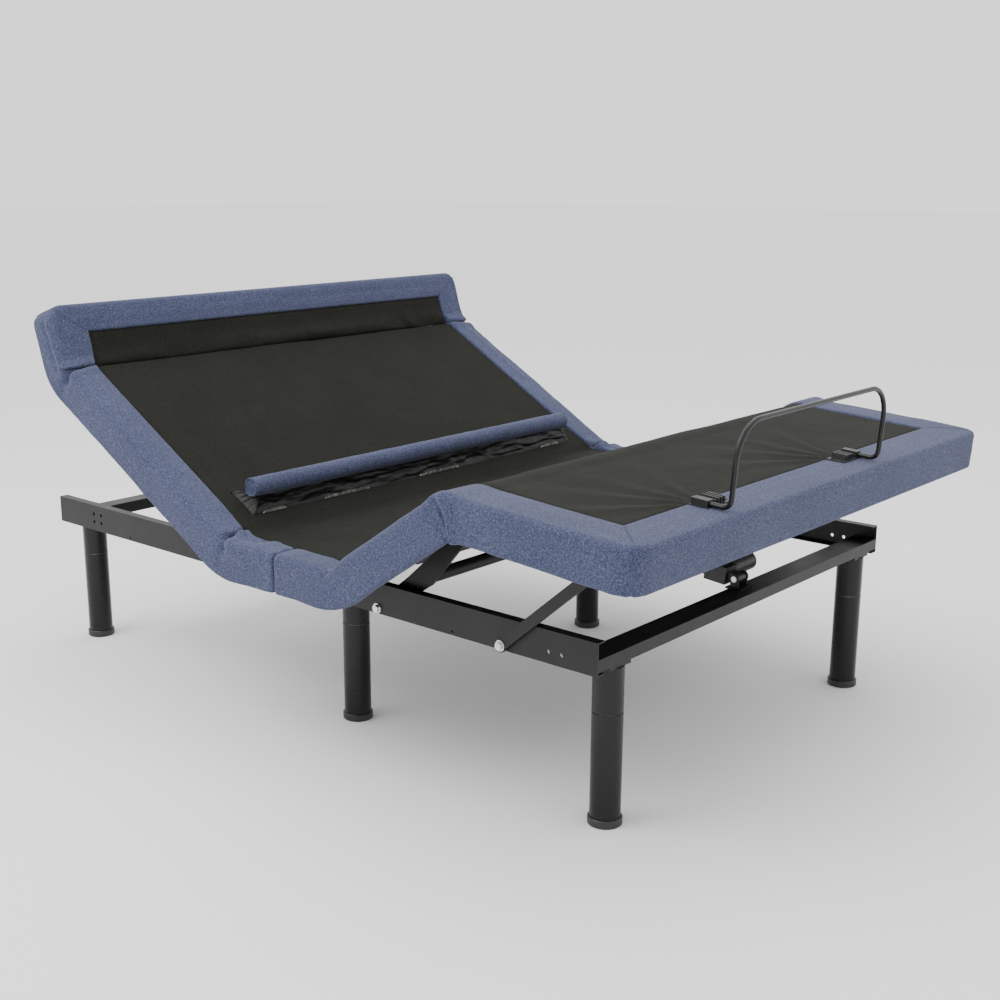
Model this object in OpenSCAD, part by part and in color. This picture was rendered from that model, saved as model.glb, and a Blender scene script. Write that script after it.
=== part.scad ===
// Adjustable bed base with a raised back, pillow tilt, lumbar roll and knee lift.
// +X runs across the bed, +Y runs towards the head and +Z is up. The origin is on the floor,
// at the middle of the whole base. Sizes are in millimetres.
// A deck section has its own frame: u runs away from its hinge, v is square to the deck,
// and u = v = 0 on the hinge line. side = 1 for sections towards the head, -1 towards the foot.

/* [Deck] */
// Width of the deck
deck_w = 1524; // [1240:2:1960]
// Length of the seat, hinge to hinge
seat_len = 367; // [330:1:460]
// Length of the back section, hinge to hinge
back_len = 712; // [590:1:860]
// Length of the pillow tilt section
tilt_len = 165; // [140:1:220]
// Length of the thigh section, hinge to hinge
thigh_len = 393; // [385:1:480]
// Length of the foot section
foot_len = 465; // [420:1:600]
// Height of the seat's top above the floor
seat_top = 486; // [480:1:600]
// Depth of a section from its top to the bottom of its skirt
deck_depth = 94; // [80:1:115]
// Thickness of the padded top layer
pad_t = 12; // [8:1:14]
// Thickness of the plywood board
board_t = 15; // [12:1:18]
// Thickness of the side skirt
skirt_t = 20; // [12:1:28]
// Radius of the deck's corners, seen from above
corner_r = 52; // [40:1:110]
// Depth of the hinge lines below the deck's top
hinge_depth = 24; // [22:1:28]
// Gap between two sections at a closed joint
joint_gap = 2; // [1:0.5:4]

/* [Pose and travel] */
// Rest angle of the back above level
back_rest = 30; // [0:1:60]
// Highest angle of the back above level
back_max = 60; // [45:1:65]
// Rest angle of the pillow tilt above the back
tilt_rest = 42; // [0:1:48]
// Highest angle of the pillow tilt above the back
tilt_max = 48; // [30:1:50]
// Rest angle of the thigh section above level
thigh_rest = 34; // [20:1:39]
// Highest angle of the thigh section above level
thigh_max = 39; // [34:1:42]
// Slope of the foot section below level at rest
foot_drop = 4; // [0:0.5:8]
// Height of the lumbar roll's middle above the deck at rest
lumbar_lift = 40; // [30:1:45]

/* [Steel frame] */
// Width over the side rails
rail_over = 1218; // [1000:2:1300]
// Height of a side rail
rail_h = 71; // [60:1:85]
// Width of a side rail's flanges
rail_flange = 24; // [20:1:30]
// Wall of the rails and cross members
steel_t = 3; // [2:0.5:4]
// Gap between the section tubes and the rails' top when flat
rail_gap = 14; // [10:1:24]
// Reach of the rails from the seat's middle to the head end
rail_head_reach = 1088; // [1000:1:1300]
// Reach of the rails from the seat's middle to the foot end
rail_foot_reach = 786; // [720:1:940]
// Side of the square section tubes
tube_w = 25; // [20:1:28]
// Wall of the square section tubes
tube_t = 2; // [1.5:0.5:3]
// Distance of the section side tubes from the middle of the bed
side_tube_x = 680; // [670:1:700]
// Width of the foot cross member
foot_member_w = 60; // [50:1:80]
// Height of the foot cross member
foot_member_h = 27; // [24:1:32]
// Width of the head cross member
head_member_w = 50; // [40:1:60]
// Height of the head cross member
head_member_h = 30; // [25:1:36]
// Distance of the head cross member's middle from the rails' head end
head_member_in = 180; // [150:1:240]

/* [Legs] */
// Diameter of the leg tubes
leg_d = 66; // [50:1:72]
// Wall of the leg tubes
leg_wall = 2.5; // [2:0.5:4]
// Length of the upper leg
upper_leg_len = 100; // [76:1:140]
// Diameter of the leg glides
glide_d = 74; // [60:1:84]
// Height of the leg glides
glide_h = 18; // [12:1:24]
// Distance of a corner leg from the outside of its rail
corner_leg_in = 80; // [60:1:110]
// Distance of a middle leg from the outside of its rail
middle_leg_in = 137; // [110:1:170]
// Distance of the head legs from the rails' head end
head_leg_in = 38; // [37:1:80]
// Thickness of the leg plates
leg_plate_t = 8; // [6:1:10]

/* [Mechanism] */
// Diameter of the hinge pins
hinge_pin_d = 8; // [6:1:10]
// Diameter of the pivot bolts on the rails
bolt_d = 10; // [8:1:12]
// Radial clearance of a pin in its hole
pin_play = 0.06; // [0.03:0.01:0.1]
// Length of a lift arm from its bolt to its shoe
arm_len = 380; // [360:1:400]
// Angle of a lift arm at rest
arm_rest = 42.3; // [38:0.1:46]
// Thickness of the lift arm plates and foot links
arm_t = 8; // [6:1:10]
// Diameter of the lift arms' cross tube
arm_tube_d = 30; // [25:1:34]
// Radius of the nylon shoes on the lift arms
shoe_r = 18; // [14:1:20]
// Length of the foot links between their pivots
link_len = 298; // [290:1:306]
// Angle of the foot links at rest
link_rest = 40.9; // [36:0.1:46]
// Width of the foot links
link_w = 24; // [18:1:30]
// Diameter of the actuators' outer tubes
act_tube_d = 36; // [28:1:42]
// Diameter of the actuators' rods
act_rod_d = 20; // [14:1:24]
// Diameter of the actuators' pins
act_pin_d = 10; // [8:1:12]
// Play along an actuator between its rod end and the lever's pin
act_play = 2.8; // [2.5:0.1:4]

/* [Lumbar and trim] */
// Length of the lumbar roll
roll_len = 1220; // [900:10:1240]
// Diameter of the lumbar roll
roll_d = 48; // [36:1:54]
// Width of the slot that the lumbar roll sits in
slot_w = 90; // [80:1:100]
// Distance of the lumbar roll from the back's hinge line
roll_u = 112; // [96:1:125]
// Width between the posts of the mattress retainer
retainer_w = 630; // [400:10:800]
// Sideways shift of the mattress retainer
retainer_shift = -110; // [-140:5:140]
// Height of the mattress retainer above the deck
retainer_h = 178; // [120:1:200]
// Diameter of the mattress retainer bar
retainer_d = 11; // [8:1:14]

/* [Hidden] */
$fn = 48;

// Finishes
powder_black = "#1c1d20";
zinc = "#b9bcc2";
fabric_blue = "#596a93";
plywood = "#b89468";
plastic_black = "#141416";
inset_black = "#2b2c29";

// Levels of a section, measured from its hinge line
v_top = hinge_depth;
v_pad = v_top - pad_t;
v_board = v_pad - board_t;
v_cross = v_board - tube_w;
v_skirt = v_top - deck_depth;

// Levels of the steel frame
hinge_z = seat_top - hinge_depth;
rail_top = hinge_z + v_cross - rail_gap;
rail_bottom = rail_top - rail_h;
foot_member_z = rail_bottom + leg_plate_t;

// A point of a section, as [y, z], from its hinge, angle and side
function place(o, a, u, v, side) =
  [o[0] + side * (u * cos(a) - v * sin(a)), o[1] + u * sin(a) + v * cos(a)];

// Hinge lines at rest. The seat is placed so that the origin is at the middle of the base.
foot_reach = seat_len / 2 + thigh_len * cos(thigh_rest) + foot_len * cos(foot_drop)
  + v_top * sin(foot_drop);
seat_y = (foot_reach - rail_head_reach) / 2;
thigh_hinge = [seat_y - seat_len / 2, hinge_z];
back_hinge = [seat_y + seat_len / 2, hinge_z];
knee_hinge = place(thigh_hinge, thigh_rest, thigh_len, 0, -1);
tilt_hinge = place(back_hinge, back_rest, back_len, 0, 1);
knee_bend = (thigh_max / thigh_rest) * (thigh_rest + foot_drop);
rail_head_y = seat_y + rail_head_reach;
rail_foot_y = seat_y - rail_foot_reach;

// Legs
leg_top = rail_bottom;
head_leg_y = rail_head_y - head_leg_in;
foot_leg_y = rail_foot_y + foot_member_w / 2;
corner_leg_x = rail_over / 2 - corner_leg_in;
middle_leg_x = rail_over / 2 - middle_leg_in;
middle_leg_y = seat_y + 36;
LEGS = [for (s = [-1, 1]) each [
  [s * corner_leg_x, foot_leg_y], [s * middle_leg_x, middle_leg_y], [s * corner_leg_x, head_leg_y]
]];
groove = 1.5;

// Rail pivots
rail_x = rail_over / 2;
pivot_z = rail_bottom + 12;
arm_pivot = [thigh_hinge[0] + 7, pivot_z];
link_u = 271;
link_v = -105;
link_pin = place(knee_hinge, -foot_drop, link_u, link_v, -1);
link_pivot = [link_pin[0] + link_len * cos(link_rest), link_pin[1] - link_len * sin(link_rest)];
link_x = rail_x + 4;
arm_x = rail_x - rail_flange - 2;
head_holes_y = rail_head_y - head_member_in;

// Lift arm: a along the arm, b square to it and upwards
arm_tube_a = 155;
arm_tube_b = -19;
lever_a = arm_tube_a - 47;
lever_b = 32;

// Actuators, as [y, z] at rest
function arm_point(a, b) =
  [arm_pivot[0] - a * cos(arm_rest) + b * sin(arm_rest),
   arm_pivot[1] + a * sin(arm_rest) + b * cos(arm_rest)];
foot_act_pin = arm_point(lever_a, lever_b);
foot_act_base = [foot_leg_y + 17, foot_member_z + foot_member_h + 24];
back_lever = 60;
back_lever_angle = -90 - back_rest;
head_act_pin = place(back_hinge, back_rest, back_lever * cos(back_lever_angle),
  back_lever * sin(back_lever_angle), 1);
seat_cross_in = [50, 77];
head_act_base = [thigh_hinge[0] + seat_cross_in[0], hinge_z + v_cross - 46];
tilt_lever = 30;
tilt_lever_angle = -72;
tilt_act_pin_u = back_len + tilt_lever * cos(tilt_lever_angle);
tilt_act_pin_v = tilt_lever * sin(tilt_lever_angle);
tilt_act_base_u = back_len - 292;
tilt_act_base_v = v_cross - 20;
tilt_cross_u = tilt_act_base_u - 12;
tilt_play = 2.5;

// ---- Shared shapes ----

// Moves a shape from a section's own frame to its place
module on_section(o, a, side) {
  translate([0, o[0], o[1]]) rotate([side * a, 0, 0]) {
    if (side > 0) children();
    else mirror([0, 1, 0]) children();
  }
}

// A flat shape in the y-z plane, with a thickness along X
module sheet_x(x0, x1) {
  translate([x0, 0, 0]) rotate([90, 0, 90]) linear_extrude(x1 - x0) children();
}

// A round bar or hole along X
module bar_x(x0, x1, y, z, r) {
  translate([x0, y, z]) rotate([0, 90, 0]) cylinder(h = x1 - x0, r = r);
}

module both_sides() {
  children();
  mirror([1, 0, 0]) children();
}

// A square tube along Y, open at its ends
module tube_y(x, y0, y1, z0, w, h) {
  translate([x - w / 2, y0, z0]) difference() {
    cube([w, y1 - y0, h]);
    translate([tube_t, -1, tube_t]) cube([w - 2 * tube_t, y1 - y0 + 2, h - 2 * tube_t]);
  }
}

// A square tube along X, centred on the bed
module tube_x(half, y, z0, w, h) {
  translate([-half, y - w / 2, z0]) difference() {
    cube([2 * half, w, h]);
    translate([-1, tube_t, tube_t]) cube([2 * half + 2, w - 2 * tube_t, h - 2 * tube_t]);
  }
}

// Hex bolt along +X from its seat: washer, head and shank
module hex_bolt(d, shank) {
  rotate([0, 90, 0]) {
    difference() {
      cylinder(h = 2, r = 1.2 * d);
      translate([0, 0, -1]) cylinder(h = 4, r = d / 2 - 0.5);
    }
    translate([0, 0, 2]) cylinder(h = 0.6 * d, r = 0.9 * d, $fn = 6);
    translate([0, 0, -shank]) cylinder(h = shank + 3, r = d / 2);
  }
}

// ---- Hinges of the deck ----
ear_r = 10.5;
ear_t = 5;
ear_back = 40;
knuckle_w = tube_w - 5;
tube_stop = 14;
knuckle_len = 32;

// Two ears at the end of a section that carries the next one
module hinge_ears(u, back) {
  for (s = [-1, 1]) for (e = [-1, 1]) {
    x0 = s * side_tube_x + e * (tube_w / 2 + ear_t / 2) - ear_t / 2;
    difference() {
      union() {
        bar_x(x0, x0 + ear_t, u, 0, ear_r);
        translate([x0, back > 0 ? u - ear_back : u, -ear_r + 1]) cube([ear_t, ear_back, 2 * ear_r - 2]);
      }
      bar_x(x0 - 1, x0 + ear_t + 1, u, 0, hinge_pin_d / 2 + pin_play);
    }
  }
}

// The knuckle of the section that turns on them
module hinge_knuckle() {
  for (s = [-1, 1]) {
    x0 = s * side_tube_x - knuckle_w / 2;
    difference() {
      union() {
        bar_x(x0, x0 + knuckle_w, 0, 0, ear_r);
        translate([x0, 0, -ear_r + 1]) cube([knuckle_w, knuckle_len, 2 * ear_r - 2]);
        translate([s * side_tube_x - tube_w / 2, knuckle_len - 4, v_pad - tube_w]) cube([tube_w, 4, tube_w]);
      }
      bar_x(x0 - 1, x0 + knuckle_w + 1, 0, 0, hinge_pin_d / 2 + pin_play);
    }
  }
}

module hinge_pins(o) {
  color(zinc) for (s = [-1, 1]) {
    reach = tube_w / 2 + ear_t;
    bar_x(s * side_tube_x - reach - 2, s * side_tube_x + reach + 2, o[0], o[1], hinge_pin_d / 2);
    for (e = [-1, 1]) {
      bar_x(s * side_tube_x + e * (reach + 1.5) - 1.5, s * side_tube_x + e * (reach + 1.5) + 1.5,
        o[0], o[1], hinge_pin_d / 2 + 2);
    }
  }
}

// ---- Deck sections ----

// Side tubes and cross tubes of one section
module section_frame(u0, u1, crosses) {
  for (s = [-1, 1]) tube_y(s * side_tube_x, u0, u1, v_pad - tube_w, tube_w, tube_w);
  for (c = crosses) tube_x(side_tube_x + tube_w / 2, c[0], v_board - c[1], tube_w, c[1]);
}

// Outline of a section from the side. h0 and h1 are half the largest bend at each end;
// a positive one folds upwards and is cut back above the hinge, a negative one below it.
function end_u(h, v) = joint_gap / 2 + (h > 0 ? max(0, v) * tan(h) : max(0, -v) * tan(-h));
module section_outline(len, h0, h1, last) {
  polygon([
    [end_u(h0, v_skirt), v_skirt], [end_u(h0, 0), 0], [end_u(h0, v_top), v_top],
    [last ? len : len - end_u(h1, v_top), v_top], [last ? len : len - end_u(h1, 0), 0],
    [last ? len : len - end_u(h1, v_skirt), v_skirt]
  ]);
}

// Plan with two rounded corners at its far end
module plan(half, u1, r) {
  translate([-half, -60, v_skirt - 1]) cube([2 * half, u1 + 60 - r, deck_depth + 2]);
  translate([-half + r, -60, v_skirt - 1]) cube([2 * (half - r), u1 + 60, deck_depth + 2]);
  for (s = [-1, 1]) translate([s * (half - r), u1 - r, v_skirt - 1]) cylinder(h = deck_depth + 2, r = r);
}

// Upholstered tray: a padded top with skirts on its sides, and on its far end when it is the last
module section_cover(len, h0, h1, last) {
  inner_half = deck_w / 2 - skirt_t;
  difference() {
    intersection() {
      sheet_x(-deck_w / 2, deck_w / 2) section_outline(len, h0, h1, last);
      if (last) plan(deck_w / 2, len, corner_r);
      else translate([-deck_w / 2, -60, v_skirt - 1]) cube([deck_w, len + 120, deck_depth + 2]);
    }
    intersection() {
      translate([-inner_half, -60, v_skirt - 1]) cube([2 * inner_half, len + 120, v_pad - v_skirt + 1]);
      if (last) plan(inner_half, len - skirt_t, corner_r - skirt_t);
      else translate([-deck_w / 2, -60, v_skirt - 1]) cube([deck_w, len + 120, deck_depth + 2]);
    }
  }
}

board_half = side_tube_x - tube_w / 2 - ear_t - 1;
board_in = 10;
module section_board(u0, u1) {
  translate([-board_half, u0, v_board]) cube([2 * board_half, u1 - u0, board_t]);
}

// ---- Seat, fixed to the rails ----
module seat_frame() {
  color(powder_black) {
    translate([0, thigh_hinge[0], hinge_z]) section_frame(tube_stop, seat_len - tube_stop,
      [[seat_cross_in[0], tube_w], [seat_len - seat_cross_in[1], tube_w]]);
    translate([0, back_hinge[0], hinge_z]) hinge_ears(0, 1);
    translate([0, thigh_hinge[0], hinge_z]) hinge_ears(0, -1);
    for (s = [-1, 1]) for (y = [thigh_hinge[0] + seat_cross_in[0], back_hinge[0] - seat_cross_in[1]]) {
      translate([s * (rail_x - rail_flange / 2) - 8, y - tube_w / 2, rail_top]) cube([16, tube_w, rail_gap]);
    }
    clevis([head_act_base[0], head_act_base[1]], hinge_z + v_cross, 16);
  }
}

// Two plates that hang from or stand on a member and hold an actuator's pin
module clevis(p, z_end, half) {
  for (e = [-1, 1]) difference() {
    union() {
      bar_x(e * (half + 3) - 3, e * (half + 3) + 3, p[0], p[1], act_pin_d + 2);
      translate([e * (half + 3) - 3, p[0] - act_pin_d, min(p[1], z_end)])
        cube([6, 2 * act_pin_d, abs(z_end - p[1])]);
    }
    bar_x(e * (half + 3) - 4, e * (half + 3) + 4, p[0], p[1], act_pin_d / 2 + pin_play);
  }
}

module seat_board() {
  color(plywood) translate([0, thigh_hinge[0], hinge_z]) section_board(board_in, seat_len - board_in);
}

// The cover is in two pieces that meet at the middle of the seat
seat_cover_gap = 4;
module seat_cover() {
  color(fabric_blue) translate([0, thigh_hinge[0], hinge_z]) difference() {
    section_cover(seat_len, thigh_max / 2, back_max / 2, false);
    translate([-deck_w, seat_len / 2 - seat_cover_gap / 2, v_skirt - 1])
      cube([2 * deck_w, seat_cover_gap, deck_depth + 2]);
  }
}

box_size = [210, 120, 42];
box_at = [-260, seat_y - 8, hinge_z + v_cross - 46];
module control_box() {
  color(plastic_black) difference() {
    union() {
      translate([box_at[0] - box_size[0] / 2, box_at[1] - box_size[1] / 2, box_at[2]]) cube(box_size);
      for (s = [-1, 1])
        translate([box_at[0] + s * box_size[0] / 2 - 10, box_at[1] - 15, box_at[2] + box_size[2]])
          cube([20, 30, hinge_z + v_board - box_at[2] - box_size[2]]);
    }
    translate([box_at[0] - box_size[0] / 2 - 1, box_at[1] - 14, box_at[2] + 10]) cube([13, 28, 20]);
  }
}

module power_inlet() {
  color(plastic_black) {
    translate([box_at[0] - box_size[0] / 2, box_at[1] - 14, box_at[2] + 10]) difference() {
      cube([12, 28, 20]);
      translate([-1, 3, 3]) cube([9, 22, 14]);
    }
    x0 = box_at[0] - box_size[0] / 2;
    for (s = [-1, 1]) bar_x(x0 + 1, x0 + 9, box_at[1] + s * 5, box_at[2] + 20, 1.2);
  }
}

// ---- Back ----
back_crosses = [[roll_u - 62, tube_w], [roll_u + 62, tube_w], [tilt_cross_u, tube_w], [back_len - 60, 12]];
lever_x = 16;
module back_frame() {
  color(powder_black) on_section(back_hinge, back_rest, 1) {
    section_frame(knuckle_len - 2, back_len - tube_stop, back_crosses);
    hinge_knuckle();
    hinge_ears(back_len, 1);
    pin_u = back_lever * cos(back_lever_angle);
    pin_v = back_lever * sin(back_lever_angle);
    cross_u = roll_u - 62;
    for (e = [-1, 1]) difference() {
      sheet_x(e * (lever_x + 3) - 3, e * (lever_x + 3) + 3) polygon([
        [cross_u - tube_w / 2, v_board], [cross_u + tube_w / 2, v_board], [cross_u + tube_w / 2, v_cross],
        [pin_u + 12, pin_v - 13], [pin_u - 12, pin_v - 13], [pin_u - 13, pin_v + 8]
      ]);
      bar_x(e * (lever_x + 3) - 4, e * (lever_x + 3) + 4, pin_u, pin_v, act_pin_d / 2 + pin_play);
    }
    clevis([tilt_act_base_u, tilt_act_base_v], v_cross, 12);
  }
}

module back_board() {
  color(plywood) on_section(back_hinge, back_rest, 1) {
    section_board(board_in, roll_u - slot_w / 2);
    section_board(roll_u + slot_w / 2, back_len - board_in);
  }
}

slot_half = roll_len / 2 + 14;
module back_cover() {
  color(fabric_blue) on_section(back_hinge, back_rest, 1) difference() {
    section_cover(back_len, back_max / 2, tilt_max / 2, false);
    translate([-slot_half, roll_u - slot_w / 2, v_skirt - 1]) cube([2 * slot_half, slot_w, deck_depth + 2]);
  }
}

// ---- Lumbar roll: it rises square to the back on two rods ----
roll_v = v_top + lumbar_lift;
rod_x = 350;
rod_d = 12;
screw_x = 120;
guide_v = v_cross - 24;
guide_t = 12;
rod_end_v = guide_v - 10;
beam_v = roll_v - roll_d / 2;
beam_t = 6;
beam_w = 30;

module lumbar_guide() {
  color(powder_black) on_section(back_hinge, back_rest, 1) {
    difference() {
      translate([-rod_x - 40, roll_u - 16, guide_v]) cube([2 * rod_x + 80, 32, guide_t]);
      for (x = [-rod_x, rod_x])
        translate([x, roll_u, guide_v - 1]) cylinder(h = guide_t + 2, r = rod_d / 2 + 0.08);
      translate([screw_x, roll_u, guide_v - 1]) cylinder(h = guide_t + 2, r = rod_d / 2 + 3);
    }
    for (s = [-1, 1]) for (e = [-1, 1]) {
      translate([s * (rod_x + 30) - 10, roll_u + (e > 0 ? 15.5 : -62 - tube_w / 2), guide_v])
        cube([20, 46.5 + tube_w / 2, 4]);
      translate([s * (rod_x + 30) - 10, roll_u + e * 62 - 2, guide_v]) cube([20, 4, v_cross - guide_v]);
    }
  }
}

module lumbar_motor() {
  color(plastic_black) on_section(back_hinge, back_rest, 1) {
    difference() {
      translate([screw_x - 24, roll_u - 22, guide_v - 34]) cube([48, 44, 34]);
      translate([screw_x, roll_u, guide_v - 35]) cylinder(h = 36, r = rod_d / 2 + 0.3);
    }
    bar_x(screw_x + 23, screw_x + 110, roll_u, guide_v - 17, 15);
  }
}

module lumbar_beam() {
  color(powder_black) on_section(back_hinge, back_rest, 1) {
    translate([-roll_len / 2 + 30, roll_u - beam_w / 2, beam_v - beam_t])
      cube([roll_len - 60, beam_w, beam_t]);
    for (x = [-rod_x, rod_x, screw_x])
      translate([x, roll_u, rod_end_v]) cylinder(h = beam_v - beam_t - rod_end_v + 1, r = rod_d / 2);
  }
}

module lumbar_roll() {
  end_r = 8;
  color(fabric_blue) on_section(back_hinge, back_rest, 1) translate([0, roll_u, roll_v]) rotate([0, 90, 0])
    rotate_extrude($fn = 64) {
      translate([0, -roll_len / 2 + end_r]) square([roll_d / 2, roll_len - 2 * end_r]);
      translate([0, -roll_len / 2]) square([roll_d / 2 - end_r, roll_len]);
      for (s = [-1, 1]) translate([roll_d / 2 - end_r, s * (roll_len / 2 - end_r)]) circle(end_r, $fn = 32);
    }
}

// Pleated skirt between the slot and the roll: a hollow sleeve that folds as the roll goes down
module lumbar_bellows() {
  half = slot_half - 4;
  low = v_pad + 1;
  high = beam_v - beam_t - 1;
  color(inset_black) on_section(back_hinge, back_rest, 1) difference() {
    sheet_x(-half, half) polygon([
      [roll_u - slot_w / 2 + 3, low], [roll_u + slot_w / 2 - 8, low],
      [roll_u + beam_w / 2 + 6, high], [roll_u - beam_w / 2 - 6, high]
    ]);
    sheet_x(-half + 6, half - 6) polygon([
      [roll_u - slot_w / 2 + 9, low - 1], [roll_u + slot_w / 2 - 14, low - 1],
      [roll_u + beam_w / 2 + 1, high + 1], [roll_u - beam_w / 2 - 1, high + 1]
    ]);
  }
}

// ---- Pillow tilt ----
module tilt_frame() {
  color(powder_black) on_section(tilt_hinge, back_rest + tilt_rest, 1) {
    section_frame(knuckle_len - 2, tilt_len - skirt_t - 10, [[60, 12], [tilt_len - skirt_t - 25, 12]]);
    hinge_knuckle();
    a = tilt_lever_angle - tilt_rest;
    pu = tilt_lever * cos(a);
    pv = tilt_lever * sin(a);
    for (e = [-1, 1]) difference() {
      union() {
        bar_x(e * 13 - 3, e * 13 + 3, pu, pv, 8);
        sheet_x(e * 13 - 3, e * 13 + 3) polygon([
          [pu + 7, pv - 3], [60 + tube_w / 2, v_board - 12], [60 + tube_w / 2, v_board],
          [60 - tube_w / 2, v_board], [pu - 7, pv + 3]
        ]);
      }
      bar_x(e * 13 - 4, e * 13 + 4, pu, pv, 3 + pin_play);
    }
  }
}

module tilt_board() {
  color(plywood) on_section(tilt_hinge, back_rest + tilt_rest, 1)
    section_board(board_in, tilt_len - skirt_t - 2);
}

module tilt_cover() {
  clear = v_cross - rail_gap;
  color(fabric_blue) on_section(tilt_hinge, back_rest + tilt_rest, 1) difference() {
    section_cover(tilt_len, tilt_max / 2, 0, true);
    translate([-rail_x - 12, tilt_len - skirt_t - 1, v_skirt - 1])
      cube([2 * rail_x + 24, skirt_t + 2, clear + 5 - v_skirt]);
  }
}

// ---- Thigh ----
module thigh_frame() {
  color(powder_black) on_section(thigh_hinge, thigh_rest, -1) {
    section_frame(knuckle_len - 2, thigh_len - tube_stop, [[100, tube_w], [250, 12]]);
    hinge_knuckle();
    hinge_ears(thigh_len, 1);
  }
}

module thigh_board() {
  color(plywood) on_section(thigh_hinge, thigh_rest, -1) section_board(board_in, thigh_len - board_in);
}

module thigh_cover() {
  color(fabric_blue) on_section(thigh_hinge, thigh_rest, -1)
    section_cover(thigh_len, thigh_max / 2, -knee_bend / 2 - 0.5, false);
}

// ---- Foot ----
bracket_x = link_x + arm_t + 3;
module foot_frame() {
  color(powder_black) on_section(knee_hinge, -foot_drop, -1) {
    section_frame(knuckle_len - 2, foot_len - skirt_t - 10,
      [[70, tube_w], [link_u, tube_w], [foot_len - skirt_t - 40, tube_w]]);
    hinge_knuckle();
    both_sides() difference() {
      union() {
        bar_x(bracket_x, bracket_x + 6, link_u, link_v, 14);
        sheet_x(bracket_x, bracket_x + 6) polygon([
          [link_u - 12, link_v - 6], [link_u + 12, link_v - 6], [link_u + 32, v_cross + 4],
          [link_u + 12, v_board - 2], [link_u - 12, v_board - 2], [link_u - 32, v_cross + 4]
        ]);
      }
      bar_x(bracket_x - 1, bracket_x + 7, link_u, link_v, bolt_d / 2 + pin_play);
    }
  }
}

module foot_board() {
  color(plywood) on_section(knee_hinge, -foot_drop, -1) section_board(board_in, foot_len - skirt_t - 2);
}

module foot_cover() {
  color(fabric_blue) on_section(knee_hinge, -foot_drop, -1)
    section_cover(foot_len, -knee_bend / 2 - 0.5, 0, true);
}

module link_pins() {
  color(zinc) on_section(knee_hinge, -foot_drop, -1) both_sides() {
    bar_x(link_x - 1.5, bracket_x + 8, link_u, link_v, bolt_d / 2);
    bar_x(bracket_x + 6, bracket_x + 11, link_u, link_v, bolt_d * 0.8);
  }
}

// ---- Mattress retainer ----
retainer_u = foot_len - 80;
retainer_run = 62;
retainer_v = v_top + 9;
foot_bend = 20;
top_bend = 76;

// A quarter bend of round bar, from +X to +Y of its own plane
module quarter_bend(r, d) {
  rotate_extrude(angle = 90, $fn = 64) translate([r, 0]) circle(d = d, $fn = 24);
}

module retainer_half() {
  r = retainer_d / 2;
  x = retainer_w / 2;
  post_u = retainer_u + retainer_run;
  top_v = v_top + retainer_h;
  run = retainer_run - foot_bend + 14;
  translate([x, retainer_u - 14, retainer_v]) rotate([-90, 0, 0]) cylinder(h = run, r = r);
  translate([x, post_u - foot_bend, retainer_v + foot_bend]) rotate([90, 0, 90])
    rotate([0, 0, -90]) quarter_bend(foot_bend, retainer_d);
  translate([x, post_u, retainer_v + foot_bend])
    cylinder(h = top_v - top_bend - retainer_v - foot_bend, r = r);
  translate([x - top_bend, post_u, top_v - top_bend]) rotate([90, 0, 0])
    quarter_bend(top_bend, retainer_d);
}

module retainer_bar() {
  half = retainer_w / 2 - top_bend;
  color(plastic_black) on_section(knee_hinge, -foot_drop, -1) translate([retainer_shift, 0, 0]) {
    both_sides() retainer_half();
    bar_x(-half, half, retainer_u + retainer_run, v_top + retainer_h, retainer_d / 2);
  }
}

module retainer_brackets() {
  color(plastic_black) on_section(knee_hinge, -foot_drop, -1) translate([retainer_shift, 0, 0]) both_sides()
    translate([retainer_w / 2, retainer_u, v_top]) difference() {
      union() {
        translate([-76, -24, 0]) cube([90, 44, 4]);
        translate([-60, -20, 0]) cube([40, 34, 13]);
        translate([-10, -22, 0]) cube([20, 38, 17]);
        translate([-22, -10, 0]) cube([14, 16, 10]);
        for (x = [-56, -45, -34]) translate([x, -22, 0]) cube([5, 38, 16]);
      }
      translate([0, -16, retainer_v - v_top]) rotate([-90, 0, 0]) cylinder(h = 60, r = retainer_d / 2 + 0.05);
      for (y = [-14, 10]) translate([-69, y, -1]) cylinder(h = 8, r = 3.5);
    }
}

// ---- Side rails and cross members ----
module rail_profile() {
  difference() {
    square([rail_flange, rail_h]);
    translate([steel_t, steel_t]) square([rail_flange, rail_h - 2 * steel_t]);
  }
}

trim_hole_d = 9;
foot_hole_in = [90, 123];
head_hole_pitch = [33, 22];
clip_hole_at = [383, 1544];
module side_rail() {
  difference() {
    translate([rail_x, rail_foot_y, rail_bottom]) mirror([1, 0, 0]) rotate([90, 0, 0]) mirror([0, 0, 1])
      linear_extrude(rail_head_y - rail_foot_y) rail_profile();
    for (p = [arm_pivot, link_pivot]) bar_x(rail_x - 10, rail_x + 10, p[0], p[1], bolt_d / 2 + pin_play);
    for (y = foot_hole_in)
      bar_x(rail_x - 10, rail_x + 10, rail_foot_y + y, foot_member_z + foot_member_h / 2 + 3,
        trim_hole_d / 2);
    for (y = [-1, 1]) for (z = [-1, 1])
      bar_x(rail_x - 10, rail_x + 10, head_holes_y + y * head_hole_pitch[0] / 2,
        rail_bottom + rail_h / 2 + z * head_hole_pitch[1] / 2, trim_hole_d / 2);
    for (y = clip_hole_at) bar_x(rail_x - 10, rail_x + 10, rail_foot_y + y, rail_bottom + 8, 3);
  }
}
module side_rail_right() {
  color(powder_black) side_rail();
}
module side_rail_left() {
  color(powder_black) mirror([1, 0, 0]) side_rail();
}

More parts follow.
